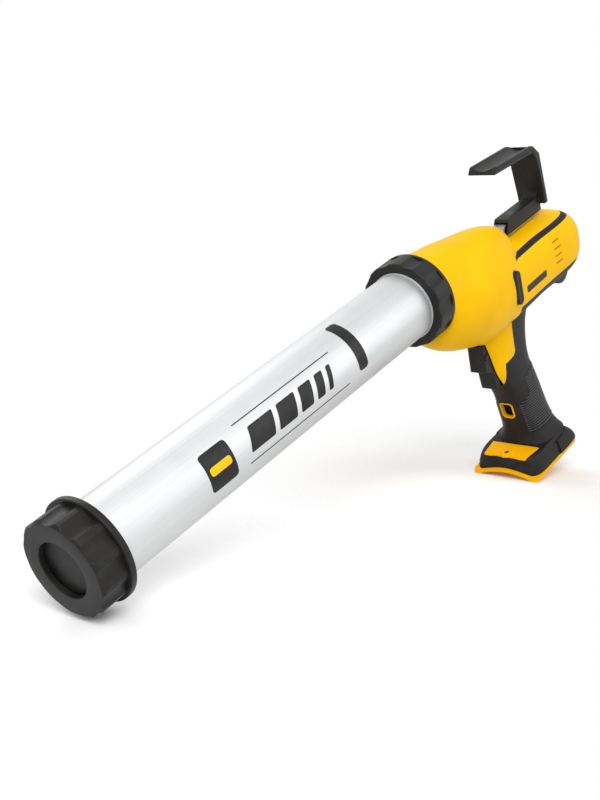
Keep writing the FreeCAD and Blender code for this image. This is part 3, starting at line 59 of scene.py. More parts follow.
BODIES = {
    node: body
    for body, members in frame["record"]["behaviour"]["bodies"].items()
    for node in members
}

VALUE, COLOUR, VECTOR = "NodeSocketFloat", "NodeSocketColor", "NodeSocketVector"
COUNT, GEOMETRY = "NodeSocketInt", "NodeSocketGeometry"
# Places of a Mix node's colour sockets, which share their names with its other sockets
MIX_FACTOR, MIX_FIRST, MIX_SECOND, MIX_RESULT = 0, 6, 7, 2


# Node helpers


def add_node(tree, kind, values=None, **settings):
    """Adds a node, sets its properties, and sets or links its inputs."""
    node = tree.nodes.new(kind)
    for name, value in settings.items():
        setattr(node, name, value)
    for name, value in (values or {}).items():
        if hasattr(value, "is_output"):
            tree.links.new(value, node.inputs[name])
        else:
            node.inputs[name].default_value = value
    return node


def math_node(tree, operation, first, second=0.0, clamp=False):
    """A math node whose two inputs are sockets or numbers; returns its output."""
    values = {0: first, 1: second}
    return add_node(tree, "ShaderNodeMath", values, operation=operation, use_clamp=clamp).outputs[0]


def mix_colour(tree, factor, first, second):
    """Mixes two colours by a factor and returns the colour socket."""
    values = {MIX_FACTOR: factor, MIX_FIRST: first, MIX_SECOND: second}
    return add_node(tree, "ShaderNodeMix", values, data_type="RGBA").outputs[MIX_RESULT]


def remap(tree, value, low, high, start=0.0, end=1.0):
    """Maps low..high onto start..end, clamped at both ends."""
    values = {"Value": value, "From Min": low, "From Max": high, "To Min": start, "To Max": end}
    return add_node(tree, "ShaderNodeMapRange", values).outputs["Result"]


def new_tree(kind, name, inputs, outputs):
    """An empty node tree with named sockets; returns it with its two end nodes."""
    tree = bpy.data.node_groups.new(name, kind)
    for in_out, sockets in (("INPUT", inputs), ("OUTPUT", outputs)):
        for socket, socket_kind in sockets:
            tree.interface.new_socket(socket, in_out=in_out, socket_type=socket_kind)
    return tree, tree.nodes.new("NodeGroupInput"), tree.nodes.new("NodeGroupOutput")


# Shared surface effects


def moulded_grain():
    """Pebbled mould texture: a height for bumps and a slow tone drift."""
    inputs = [("Vector", VECTOR), ("Scale", VALUE), ("Pebble", VALUE)]
    outputs = [("Height", VALUE), ("Tone", VALUE)]
    group, start, end = new_tree("ShaderNodeTree", "moulded_grain", inputs, outputs)
    place, scale = start.outputs["Vector"], start.outputs["Scale"]
    fine = add_node(group, "ShaderNodeTexNoise", {"Vector": place, "Scale": scale, "Detail": 3.0})
    cells = add_node(group, "ShaderNodeTexVoronoi", {"Vector": place, "Scale": scale})
    pebble = math_node(group, "MULTIPLY", cells.outputs["Distance"], start.outputs["Pebble"])
    height = math_node(group, "SUBTRACT", fine.outputs[0], pebble)
    slow = add_node(group, "ShaderNodeTexNoise", {"Vector": place, "Scale": 24.0, "Detail": 5.0})
    group.links.new(height, end.inputs["Height"])
    group.links.new(slow.outputs[0], end.inputs["Tone"])
    return group


def handling_marks():
    """Rubbed patches and hairline scratches that drift a finish's colour and roughness."""
    patch_edge, scratch_edge, roughness_drift = (0.50, 0.74), (0.69, 0.76), 0.22
    inputs = [("Vector", VECTOR), ("Colour", COLOUR), ("Rubbed", COLOUR), ("Roughness", VALUE),
              ("Amount", VALUE)]
    outputs = [("Colour", COLOUR), ("Roughness", VALUE)]
    group, start, end = new_tree("ShaderNodeTree", "handling_marks", inputs, outputs)
    place = start.outputs["Vector"]
    patch = add_node(group, "ShaderNodeTexNoise", {"Vector": place, "Scale": 55.0, "Detail": 6.0})
    patches = remap(group, patch.outputs[0], *patch_edge)
    stretch = {"Vector": place, "Rotation": (0.5, 0.9, 0.3), "Scale": (30.0, 900.0, 900.0)}
    drawn = add_node(group, "ShaderNodeMapping", stretch)
    hairs = add_node(group, "ShaderNodeTexNoise", {"Vector": drawn.outputs[0], "Scale": 1.0, "Detail": 2.0})
    scratches = remap(group, hairs.outputs[0], *scratch_edge)
    both = math_node(group, "ADD", patches, scratches, clamp=True)
    worn = math_node(group, "MULTIPLY", both, start.outputs["Amount"], clamp=True)
    colour = mix_colour(group, worn, start.outputs["Colour"], start.outputs["Rubbed"])
    uneven = math_node(group, "SUBTRACT", patch.outputs[0], 0.5)
    drift = math_node(group, "MULTIPLY", uneven, roughness_drift)
    rough = math_node(group, "ADD", start.outputs["Roughness"], drift)
    group.links.new(colour, end.inputs["Colour"])
    group.links.new(rough, end.inputs["Roughness"])
    return group


def drawn_lines():
    """Fine lines along X, as on drawn tube and bar; a value around one half."""
    group, start, end = new_tree("ShaderNodeTree", "drawn_lines", [("Vector", VECTOR)], [("Lines", VALUE)])
    stretch = {"Vector": start.outputs["Vector"], "Scale": (5.0, 1500.0, 1500.0)}
    drawn = add_node(group, "ShaderNodeMapping", stretch)
    lines = add_node(group, "ShaderNodeTexNoise", {"Vector": drawn.outputs[0], "Scale": 1.0, "Detail": 4.0})
    group.links.new(lines.outputs[0], end.inputs["Lines"])
    return group


def seam_line():
    """One where the two casing halves meet, falling to zero a width away."""
    inputs = [("Vector", VECTOR), ("Width", VALUE)]
    group, start, end = new_tree("ShaderNodeTree", "seam_line", inputs, [("Line", VALUE)])
    axes = add_node(group, "ShaderNodeSeparateXYZ", {"Vector": start.outputs["Vector"]})
    off = math_node(group, "ABSOLUTE", axes.outputs["Y"])
    share = math_node(group, "DIVIDE", off, start.outputs["Width"])
    line = math_node(group, "SUBTRACT", 1.0, share, clamp=True)
    group.links.new(line, end.inputs["Line"])
    return group


GRAIN, MARKS, LINES, SEAM = moulded_grain(), handling_marks(), drawn_lines(), seam_line()


# Finishes


def use_group(tree, group, values):
    """Places a shared effect in a material."""
    return add_node(tree, "ShaderNodeGroup", values, node_tree=group)


def new_material(name):
    """An empty node material; returns it with its tree, shader and object coordinates."""
    material = bpy.data.materials.new(name)
    material.use_nodes = True
    tree = material.node_tree
    tree.nodes.clear()
    shader = tree.nodes.new("ShaderNodeBsdfPrincipled")
    output = tree.nodes.new("ShaderNodeOutputMaterial")
    tree.links.new(shader.outputs[0], output.inputs["Surface"])
    place = tree.nodes.new("ShaderNodeTexCoord").outputs["Object"]
    return material, tree, shader, place


def opaque(colour):
    """The colour with full alpha."""
    return tuple(colour) + (1.0,)


def toned(colour, share):
    """The colour scaled by a share, with full alpha."""
    return opaque(min(1.0, part * share) for part in colour)


def handled(tree, place, colour, rubbed, roughness, amount):
    """A finish's colour and roughness with handling marks on them; returns both sockets."""
    marks = use_group(tree, MARKS, {"Vector": place, "Colour": colour, "Rubbed": opaque(rubbed),
                                    "Roughness": roughness, "Amount": amount})
    return marks.outputs["Colour"], marks.outputs["Roughness"]


def feed_shader(tree, shader, tint, rough, height, depth, strength):
    """Feeds a shader its colour, its roughness and the bumps of a height."""
    bump = add_node(tree, "ShaderNodeBump", {"Strength": strength, "Distance": depth, "Height": height})
    tree.links.new(tint, shader.inputs["Base Color"])
    tree.links.new(rough, shader.inputs["Roughness"])
    tree.links.new(bump.outputs[0], shader.inputs["Normal"])


def moulded(name, colour, rubbed, roughness, scale, pebble, depth, amount, seam=0.0, sheen=0.20):
    """A moulded plastic or rubber finish with grain, handling marks and an optional seam."""
    dull_share, bright_share, seam_share, seam_depth = 0.93, 1.05, 0.25, 3.0
    material, tree, shader, place = new_material(name)
    grain = use_group(tree, GRAIN, {"Vector": place, "Scale": scale, "Pebble": pebble})
    drift = remap(tree, grain.outputs["Tone"], 0.3, 0.7)
    base = mix_colour(tree, drift, toned(colour, dull_share), toned(colour, bright_share))
    tint, rough = handled(tree, place, base, rubbed, roughness, amount)
    height = grain.outputs["Height"]
    if seam:
        line = use_group(tree, SEAM, {"Vector": place, "Width": seam}).outputs["Line"]
        tint = mix_colour(tree, line, tint, toned(colour, seam_share))
        height = math_node(tree, "SUBTRACT", height, math_node(tree, "MULTIPLY", line, seam_depth))
    feed_shader(tree, shader, tint, rough, height, depth, strength=0.6)
    shader.inputs["Specular IOR Level"].default_value = sheen
    return material


def metal(name, colour, rubbed, roughness, depth, amount, drawn=True, metallic=1.0, edge=1.0):
    """A metal finish with drawn lines or cast grain, and rubbed patches."""
    dull_share, bright_share = 0.94, 1.04
    material, tree, shader, place = new_material(name)
    if drawn:
        height = use_group(tree, LINES, {"Vector": place}).outputs["Lines"]
    else:
        height = use_group(tree, GRAIN, {"Vector": place, "Scale": 900.0, "Pebble": 0.6}).outputs["Height"]
    drift = remap(tree, height, 0.3, 0.7)
    base = mix_colour(tree, drift, toned(colour, dull_share), toned(colour, bright_share))
    tint, rough = handled(tree, place, base, rubbed, roughness, amount)
    feed_shader(tree, shader, tint, rough, height, depth, strength=0.5)
    shader.inputs["Metallic"].default_value = metallic
    shader.inputs["Specular Tint"].default_value = (edge, edge, edge, 1.0)
    return material


def circuit_board(name):
    """Green board lacquer with copper tracks showing through."""
    material, tree, shader, place = new_material(name)
    tracks = add_node(tree, "ShaderNodeTexBrick", {
        "Vector": place, "Scale": 220.0, "Mortar Size": 0.03,
        "Color1": (0.010, 0.120, 0.045, 1.0),
        "Color2": (0.014, 0.150, 0.060, 1.0),
        "Mortar": (0.060, 0.260, 0.110, 1.0),
    })
    rubbed = (0.02, 0.18, 0.08)
    tint, rough = handled(tree, place, tracks.outputs["Color"], rubbed, roughness=0.35, amount=0.3)
    feed_shader(tree, shader, tint, rough, tracks.outputs["Fac"], depth=0.00004, strength=0.3)
    return material


YELLOW = (0.90, 0.495, 0.0005)
YELLOW_RUBBED = (0.92, 0.53, 0.004)
# Painted shade: a darker, more orange copy of the casing yellow for the pieces in the yellow_plastic slot,
# such as the foot plate and rail, which are the same plastic as the casing
FOOT_YELLOW_PAINTED_SHADE = (0.85, 0.40, 0.0005)
SOFT_BLACK = (0.0098, 0.0084, 0.0084)
HARD_BLACK = (0.0120, 0.0110, 0.0104)
BLACK_RUBBED = (0.040, 0.039, 0.039)
SEAM_WIDTH = 0.0002


def housing_yellow(name, colour, seam=0.0):
    """Satin yellow casing plastic."""
    return moulded(name, colour, YELLOW_RUBBED, roughness=0.42, scale=2200.0, pebble=0.5, depth=0.00004,
                   amount=0.12, seam=seam, sheen=0.05)


def grip_rubber(name, seam=0.0):
    """Pebbled black rubber of the handle."""
    return moulded(name, SOFT_BLACK, BLACK_RUBBED, roughness=0.56, scale=1300.0, pebble=1.0, depth=0.00009,
                   amount=0.35, seam=seam)


def print_ink(name, colour, rubbed):
    """Thin smooth ink."""
    return moulded(name, colour, rubbed, roughness=0.36, scale=2600.0, pebble=0.2, depth=0.00001,
                   amount=0.20)


FINISHES = {
    "barrel_aluminium": metal(
        "barrel_aluminium", (0.64, 0.645, 0.65), (0.70, 0.70, 0.71),
        roughness=0.50, depth=0.00002, amount=0.15, metallic=0.7, edge=0.55),
    # Painted shade: the yellow_plastic pieces take the darker foot yellow, not the casing's own yellow
    "yellow_plastic": housing_yellow("yellow_plastic", FOOT_YELLOW_PAINTED_SHADE),
    "grip_black": grip_rubber("grip_black"),
    "trim_rubber": moulded(
        "trim_rubber", SOFT_BLACK, BLACK_RUBBED,
        roughness=0.62, scale=1600.0, pebble=0.8, depth=0.00006, amount=0.30),
    "black_plastic": moulded(
        "black_plastic", HARD_BLACK, BLACK_RUBBED,
        roughness=0.44, scale=1900.0, pebble=0.8, depth=0.00006, amount=0.30),
    "seal_rubber": moulded(
        "seal_rubber", HARD_BLACK, BLACK_RUBBED,
        roughness=0.50, scale=1500.0, pebble=0.4, depth=0.00003, amount=0.25),
    "rod_steel": metal(
        "rod_steel", (0.40, 0.40, 0.40), (0.56, 0.56, 0.55),
        roughness=0.34, depth=0.00003, amount=0.35),
    "gear_steel": metal(
        "gear_steel", (0.40, 0.40, 0.41), (0.60, 0.60, 0.60),
        roughness=0.32, depth=0.00003, amount=0.40, drawn=False),
    "screw_steel": metal(
        "screw_steel", (0.30, 0.30, 0.31), (0.52, 0.52, 0.52),
        roughness=0.36, depth=0.00002, amount=0.40, drawn=False),
    "bush_bronze": metal(
        "bush_bronze", (0.58, 0.38, 0.17), (0.72, 0.52, 0.28),
        roughness=0.36, depth=0.00003, amount=0.35, drawn=False),
    "gearbox_metal": metal(
        "gearbox_metal", (0.40, 0.41, 0.42), (0.55, 0.55, 0.56),
        roughness=0.48, depth=0.00008, amount=0.30, drawn=False),
    "motor_metal": metal(
        "motor_metal", (0.52, 0.52, 0.53), (0.66, 0.66, 0.66),
        roughness=0.34, depth=0.00003, amount=0.30),
    "board_green": circuit_board("board_green"),
}
HOUSING_SEAMED = housing_yellow("housing_seamed", YELLOW, SEAM_WIDTH)
GRIP_SEAMED = grip_rubber("grip_seamed", SEAM_WIDTH)
RIB_RUBBER = moulded("rib_rubber", SOFT_BLACK, BLACK_RUBBED, roughness=0.38, scale=1300.0, pebble=0.6,
                     depth=0.00004, amount=0.30, sheen=0.45)
SCREW_BLACK = metal("screw_black", (0.05, 0.05, 0.052), (0.20, 0.20, 0.20), roughness=0.40, depth=0.00002,
                    amount=0.30, drawn=False)
PRINT_DARK = print_ink("tube_print_dark", (0.012, 0.012, 0.012), (0.08, 0.08, 0.08))
PRINT_YELLOW = print_ink("tube_print_yellow", YELLOW, YELLOW_RUBBED)


# Pieces and meshes

SAME_POINT = 0.000002
NO_LENGTH = 0.000001
FLAT_DEGREES, CRISP_DEGREES, ALL_SMOOTH = 0.5, 30.0, 180.0
FILLET_STEPS = 5


def new_object(name, data):
    """An object in the scene that holds a mesh, a lamp or a camera."""
    obj = bpy.data.objects.new(name, data)
    bpy.context.scene.collection.objects.link(obj)
    return obj


def add_piece(name, mesh, body, slot, material, *stands_for):
    """Adds a mesh as a piece that rides on a body and may stand for CAD nodes."""
    obj = new_object(name, mesh)
    mesh.materials.clear()
    mesh.materials.append(material)
    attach(obj, body)
    if stands_for:
        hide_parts(*stands_for)
    return obj


def add_beside(node, name, mesh):
    """Adds a piece that belongs to a CAD node's body and has its finish."""
    return add_piece(name, mesh, BODIES[node], SLOTS[node], FINISHES[SLOTS[node]])


def dressed(node, mesh, material=None):
    """A piece that stands for one CAD node, on its body and with its slot's finish unless another is given.
    """
    finish = material or FINISHES[SLOTS[node]]
    return add_piece(f"{node}_look", mesh, BODIES[node], SLOTS[node], finish, node)


def finished_mesh(name, shape, sharp_degrees=CRISP_DEGREES):
    """Turns a bmesh into a smooth-shaded mesh that stays crisp past an angle."""
    limit = math.radians(sharp_degrees)
    for face in shape.faces:
        face.smooth = True
    for edge in shape.edges:
        edge.smooth = len(edge.link_faces) == 2 and edge.calc_face_angle(0.0) < limit
    mesh = bpy.data.meshes.new(name)
    shape.to_mesh(mesh)
    shape.free()
    return mesh


def plain_mesh(carrier, name):
    """The mesh that an object's modifiers make; the object itself is removed."""
    graph = bpy.context.evaluated_depsgraph_get()
    graph.update()
    made = bpy.data.meshes.new_from_object(carrier.evaluated_get(graph), depsgraph=graph)
    made.name = name
    carrier.modifiers.clear()
    bpy.data.objects.remove(carrier)
    return made


def merged_shape(node):
    """A CAD node's mesh with its doubled points joined."""
    shape = bmesh.new()
    shape.from_mesh(NODES[node].data)
    bmesh.ops.remove_doubles(shape, verts=shape.verts, dist=SAME_POINT)
    bmesh.ops.dissolve_degenerate(shape, edges=shape.edges, dist=NO_LENGTH)
    return shape


def flat_faced_shape(node):
    """A CAD node's joined mesh with each flat stretch as one face."""
    shape = merged_shape(node)
    limit = math.radians(FLAT_DEGREES)
    bmesh.ops.dissolve_limit(shape, angle_limit=limit, verts=shape.verts, edges=shape.edges)
    return shape


def islands(node):
    """Boxes of the separate solids inside one CAD node, as (lowest, highest) corners."""
    shape = merged_shape(node)
    left = set(shape.verts)
    boxes = []
    while left:
        reached = [left.pop()]
        group = []
        while reached:
            vert = reached.pop()
            group.append(vert.co.copy())
            for edge in vert.link_edges:
                other = edge.other_vert(vert)
                if other in left:
                    left.remove(other)
                    reached.append(other)
        low = Vector([min(point[axis] for point in group) for axis in range(3)])
        high = Vector([max(point[axis] for point in group) for axis in range(3)])
        boxes.append((low, high))
    shape.free()
    return boxes


def surface_of(*names):
    """A tree for finding points on some CAD nodes' surfaces."""
    points, faces = [], []
    for name in names:
        mesh = NODES[name].data
        offset = len(points)
        points.extend(vertex.co.copy() for vertex in mesh.vertices)
        faces.extend([index + offset for index in face.vertices] for face in mesh.polygons)
    return BVHTree.FromPolygons(points, faces)


def smooth_skin(node, material=None, sharp_degrees=28.0):
    """A casing piece shown with joined, smooth-shaded surfaces."""
    return dressed(node, finished_mesh(f"{node}_look", merged_shape(node), sharp_degrees), material)


def softened(node, width):
    """A CAD piece with its sharp edges rounded a little."""
    obj = dressed(node, finished_mesh(f"{node}_look", flat_faced_shape(node), ALL_SMOOTH))
    bevel = obj.modifiers.new("edges", "BEVEL")
    bevel.width = width
    bevel.segments = 3
    bevel.limit_method = "ANGLE"
    bevel.angle_limit = math.radians(CRISP_DEGREES)
    bevel.use_clamp_overlap = True
    bevel.harden_normals = True
    return obj


def eased(node, width, shortest):
    """A CAD piece with its long sharp edges rounded and its short ones kept crisp."""
    shape = flat_faced_shape(node)
    weight = shape.edges.layers.float.new("bevel_weight_edge")
    shape.edges.index_update()
    crisp = []
    for edge in shape.edges:
        if len(edge.link_faces) == 2 and edge.calc_face_angle(0.0) > math.radians(CRISP_DEGREES):
            if edge.calc_length() > shortest:
                edge[weight] = 1.0
            else:
                crisp.append(edge.index)
    mesh = finished_mesh(f"{node}_look", shape, ALL_SMOOTH)
    for index in crisp:
        mesh.edges[index].use_edge_sharp = True
    obj = dressed(node, mesh)
    bevel = obj.modifiers.new("edges", "BEVEL")
    bevel.width = width
    bevel.segments = 4
    bevel.limit_method = "WEIGHT"
    bevel.use_clamp_overlap = False
    bevel.harden_normals = True
    return obj


def rounded_form(node, voxel, passes):
    """A moulded piece whose edges are all eased, as on a part from a worn-in mould."""
    name = f"{node}_look"
    carrier = new_object(name, finished_mesh(f"{node}_block", merged_shape(node), ALL_SMOOTH))
    skin = carrier.modifiers.new("skin", "REMESH")
    skin.mode = "VOXEL"
    skin.voxel_size = voxel
    ease = carrier.modifiers.new("ease", "SMOOTH")
    ease.factor = 0.5
    ease.iterations = passes
    mesh = plain_mesh(carrier, name)
    mesh.shade_smooth()
    return dressed(node, mesh)


def bridge(shape, first, second):
    """Joins two closed rings of as many points with a band of faces."""
    count = len(first)
    for index in range(count):
        after = (index + 1) % count
        shape.faces.new((first[index], first[after], second[after], second[index]))


def lofted_shape(rings):
    """A closed shape through rings of points, capped at both ends."""
    shape = bmesh.new()
    loops = [[shape.verts.new(point) for point in ring] for ring in rings]
    for first, second in zip(loops, loops[1:]):
        bridge(shape, first, second)
    shape.faces.new(loops[0])
    shape.faces.new(loops[-1])
    bmesh.ops.recalc_face_normals(shape, faces=shape.faces)
    return shape


def rounded_profile(corners):
    """Corners (x, r, fillet) in millimetres become a closed (x, r) loop with rounded corners."""
    corners = [tuple(value * MM for value in corner) for corner in corners]
    loop = []
    for index, (x, r, fillet) in enumerate(corners):
        here = Vector((x, r))
        if not fillet:
            loop.append(here)
            continue
        back = (Vector(corners[index - 1][:2]) - here).normalized()
        ahead = (Vector(corners[(index + 1) % len(corners)][:2]) - here).normalized()
        half = back.angle(ahead) / 2
        centre = here + (back + ahead).normalized() * (fillet / math.sin(half))
        start = here + back * (fillet / math.tan(half)) - centre
        end = here + ahead * (fillet / math.tan(half)) - centre
        for step in range(FILLET_STEPS + 1):
            share = step / FILLET_STEPS
            loop.append(centre + start.normalized().slerp(end.normalized(), share) * fillet)
    return loop


def turned_shape(corners, segments, shaped=None):
    """Turns a rounded profile round the barrel's axis; shaped may change each radius."""
    loop = rounded_profile(corners)
    shape = bmesh.new()
    rings = []
    for step in range(segments):
        turn = 2 * math.pi * step / segments
        ring = []
        for x, r in loop:
            radius = shaped(x, r, turn) if shaped else r
            ring.append(shape.verts.new((x, radius * math.cos(turn), radius * math.sin(turn))))
        rings.append(ring)
    for step, ring in enumerate(rings):
        bridge(shape, ring, rings[(step + 1) % segments])
    bmesh.ops.recalc_face_normals(shape, faces=shape.faces)
    return shape


def stood_up(shape, spot):
    """Moves a turned shape to a spot, with its axis upright and its start on top."""
    shape.transform(Matrix.Translation(spot) @ Matrix.Rotation(math.pi / 2, 4, "Y"))
    return shape


def scallops(count, radius, depth, rim, start, end):
    """Finger scallops round a rim, from start to end along X, in millimetres."""
    radius, depth, rim, start, end = (value * MM for value in (radius, depth, rim, start, end))
    reach = rim + radius - depth
    spread = 2 * math.pi / count

    def shaped(x, r, turn):
        off = (turn + spread / 2) % spread - spread / 2
        across = reach * math.sin(off)
        if not start <= x <= end or abs(across) >= radius:
            return r
        return min(r, reach * math.cos(off) - math.sqrt(radius**2 - across**2))

    return shaped


# Geometry trees


def close_tree(tree, end, geometry, material):
    """Ends a geometry tree in plain geometry with its material."""
    plain = add_node(tree, "GeometryNodeRealizeInstances", {"Geometry": geometry})
    done = add_node(tree, "GeometryNodeSetMaterial", {"Geometry": plain.outputs[0], "Material": material})
    tree.links.new(done.outputs[0], end.inputs["Geometry"])


def rib_tree(name, material):
    """Geometry nodes that sweep a round rib along every line of the input mesh."""
    inputs = [("Geometry", GEOMETRY), ("Rib Radius", VALUE), ("Rib Sides", COUNT)]
    tree, start, end = new_tree("GeometryNodeTree", name, inputs, [("Geometry", GEOMETRY)])
    line = add_node(tree, "GeometryNodeMeshToCurve", {"Mesh": start.outputs["Geometry"]})
    ring = add_node(tree, "GeometryNodeCurvePrimitiveCircle",
                    {"Resolution": start.outputs["Rib Sides"], "Radius": start.outputs["Rib Radius"]})
    sweep = add_node(tree, "GeometryNodeCurveToMesh",
                     {"Curve": line.outputs[0], "Profile Curve": ring.outputs[0], "Fill Caps": True})
    smooth = add_node(tree, "GeometryNodeSetShadeSmooth", {"Geometry": sweep.outputs[0]})
    close_tree(tree, end, smooth.outputs[0], material)
    return tree


def ring_tree(name, material):
    """Geometry nodes that set round bars along Y in a ring about a centre."""
    inputs = [("Bars", COUNT), ("Ring Radius", VALUE), ("Bar Radius", VALUE), ("Bar Length", VALUE),
              ("Bar Sides", COUNT), ("Centre", VECTOR)]
    tree, start, end = new_tree("GeometryNodeTree", name, inputs, [("Geometry", GEOMETRY)])
    ring = add_node(tree, "GeometryNodeMeshCircle",
                    {"Vertices": start.outputs["Bars"], "Radius": start.outputs["Ring Radius"]})
    bar = add_node(tree, "GeometryNodeMeshCylinder",
                   {"Vertices": start.outputs["Bar Sides"], "Radius": start.outputs["Bar Radius"],
                    "Depth": start.outputs["Bar Length"]})
    placed = add_node(tree, "GeometryNodeInstanceOnPoints",
                      {"Points": ring.outputs[0], "Instance": bar.outputs["Mesh"]})
    turned = add_node(tree, "GeometryNodeTransform",
                      {"Geometry": placed.outputs[0], "Translation": start.outputs["Centre"],
                       "Rotation": (math.pi / 2, 0.0, 0.0)})
    close_tree(tree, end, turned.outputs[0], material)
    return tree


def painted_shade_star_tree(name, material):
    """Geometry nodes that set a flat, rounded six-point star on every point of the input mesh, as a sheet
    of painted shade.
    """
    inner_share, rounding = 0.68, 0.0003
    inputs = [("Geometry", GEOMETRY), ("Star Radius", VALUE), ("Facing", VECTOR)]
    tree, start, end = new_tree("GeometryNodeTree", name, inputs, [("Geometry", GEOMETRY)])
    outer = start.outputs["Star Radius"]
    inner = math_node(tree, "MULTIPLY", outer, inner_share)
    star = add_node(tree, "GeometryNodeCurveStar",
                    {"Points": 6, "Inner Radius": inner, "Outer Radius": outer})
    round_star = add_node(tree, "GeometryNodeFilletCurve",
                          {"Curve": star.outputs["Curve"], "Radius": rounding, "Limit Radius": True})
    face = add_node(tree, "GeometryNodeFillCurve", {"Curve": round_star.outputs[0]})
    placed = add_node(tree, "GeometryNodeInstanceOnPoints",
                      {"Points": start.outputs["Geometry"], "Instance": face.outputs[0],
                       "Rotation": start.outputs["Facing"]})
    close_tree(tree, end, placed.outputs[0], material)
    return tree


def baked(name, mesh, tree, values):
    """Runs a geometry tree on a mesh and returns the plain mesh that it makes."""
    carrier = new_object(name, mesh)
    modifier = carrier.modifiers.new(tree.name, "NODES")
    modifier.node_group = tree
    for item in tree.interface.items_tree:
        if item.in_out == "INPUT" and item.name in values:
            modifier[item.identifier] = values[item.name]
    return plain_mesh(carrier, name)


# Barrel, in millimetres

TUBE_START, TUBE_END = 4.8, 392.0
TUBE_BORE, TUBE_RADIUS = 26.0, 28.5
CAP_END, CAP_FACE, CAP_FLANGE = 25.8, 4.5, 21.0
CAP_HOLE, CAP_RADIUS, CAP_FLANGE_RADIUS, CAP_SOCKET = 20.0, 34.8, 37.2, 28.55
CAP_CHAMFER = 1.8
COLLAR_START, COLLAR_LIP, COLLAR_RIM, COLLAR_END = 377.5, 380.5, 396.0, 399.0
COLLAR_HOLE, COLLAR_RADIUS, COLLAR_SOCKET = 29.3, 36.8, 30.65
COLLAR_CHAMFER = 1.2
RING_START, RING_END, RING_BORE, RING_RADIUS = 376.9, 380.3, 28.6, 29.2
PISTON_FACE, PISTON_FACE_BACK, PISTON_FACE_RADIUS = 5.2, 7.2, 24.4
# Finger scallops: how many, their radius and their depth
CAP_SCALLOPS = (12, 15.0, 2.3)
COLLAR_SCALLOPS = (10, 20.0, 1.3)
# Scallops start this far before a face and end within this length of a rim
SCALLOP_OVERRUN, SCALLOP_STEP, FLANGE_STEP = 1.0, 0.1, 0.2
ROUND_SEGMENTS, SCALLOP_SEGMENTS, SCALLOP_CRISP_DEGREES = 160, 360, 32.0


def along(radius, *places):
    """Corners in line at one radius, which keep a scalloped wall's shading even."""
    return [(x, radius, 0) for x in places]


def barrel_looks():
    """Tube, cap and collar with rounded rims and finger scallops."""
    tube = [(TUBE_START, TUBE_BORE, 0.3), (TUBE_START, TUBE_RADIUS, 0.5),
            (TUBE_END, TUBE_RADIUS, 0.5), (TUBE_END, TUBE_BORE, 0.3)]
    dressed("barrel_tube", finished_mesh("barrel_tube_look", turned_shape(tube, ROUND_SEGMENTS)))
    cap = [
        (0.0, CAP_HOLE, 0.6), (0.0, CAP_RADIUS - CAP_CHAMFER, 1.6), (CAP_CHAMFER, CAP_RADIUS, 1.2),
        *along(CAP_RADIUS, 6.0, 12.0, 18.0, CAP_FLANGE - SCALLOP_STEP),
        (CAP_FLANGE, CAP_RADIUS + FLANGE_STEP, 0), (CAP_FLANGE, CAP_FLANGE_RADIUS, 0.8),
        (CAP_END, CAP_FLANGE_RADIUS, 0.8),
        (CAP_END, CAP_SOCKET, 0.3), (CAP_FACE, CAP_SOCKET, 0), (CAP_FACE, CAP_HOLE, 0.4),
    ]
    shaped = scallops(*CAP_SCALLOPS, CAP_RADIUS, -SCALLOP_OVERRUN, CAP_FLANGE - SCALLOP_STEP / 2)
    shape = turned_shape(cap, SCALLOP_SEGMENTS, shaped)
    dressed("front_cap", finished_mesh("front_cap_look", shape, SCALLOP_CRISP_DEGREES))
    collar = [
        (COLLAR_START, COLLAR_HOLE, 0.4), (COLLAR_START, COLLAR_RADIUS - COLLAR_CHAMFER, 0.8),
        (COLLAR_START + COLLAR_CHAMFER, COLLAR_RADIUS, 0.9),
        *along(COLLAR_RADIUS, 384.0, 391.0, COLLAR_RIM - SCALLOP_STEP, COLLAR_RIM),
        (COLLAR_END, COLLAR_RADIUS, 0.6),
        (COLLAR_END, COLLAR_SOCKET, 0.3), (COLLAR_LIP, COLLAR_SOCKET, 0), (COLLAR_LIP, COLLAR_HOLE, 0.3),
    ]
    scallop_start, scallop_end = COLLAR_START - SCALLOP_OVERRUN, COLLAR_RIM - SCALLOP_STEP / 2
    shaped = scallops(*COLLAR_SCALLOPS, COLLAR_RADIUS, scallop_start, scallop_end)
    shape = turned_shape(collar, SCALLOP_SEGMENTS, shaped)
    dressed("collar_nut", finished_mesh("collar_nut_look", shape, SCALLOP_CRISP_DEGREES))


def tube_clamp_ring():
    """The thin metal ring that shows between the tube and the collar."""
    ring = [(RING_START, RING_BORE, 0.1), (RING_START, RING_RADIUS, 0.2),
            (RING_END, RING_RADIUS, 0), (RING_END, RING_BORE, 0)]
    mesh = finished_mesh("tube_clamp_ring", turned_shape(ring, ROUND_SEGMENTS))
    add_beside("barrel_tube", "tube_clamp_ring", mesh)


def piston_face():
    """The piston's smooth front face, which closes the nozzle hole from behind."""
    disc = [(PISTON_FACE, 0.0, 0), (PISTON_FACE, PISTON_FACE_RADIUS, 1.0),
            (PISTON_FACE_BACK, PISTON_FACE_RADIUS, 0), (PISTON_FACE_BACK, 0.0, 0)]
    shape = turned_shape(disc, ROUND_SEGMENTS)
    bmesh.ops.remove_doubles(shape, verts=shape.verts, dist=NO_LENGTH)
    bmesh.ops.recalc_face_normals(shape, faces=shape.faces)
    add_beside("piston_plate", "piston_face", finished_mesh("piston_face", shape))


def corner_inset(off, length, corner):
    """How far a mark with round corners draws in, at a distance along its length."""
    near = min(off, length - off)
    if near >= corner:
        return 0.0
    return corner - math.sqrt(max(0.0, corner**2 - (corner - near) ** 2))


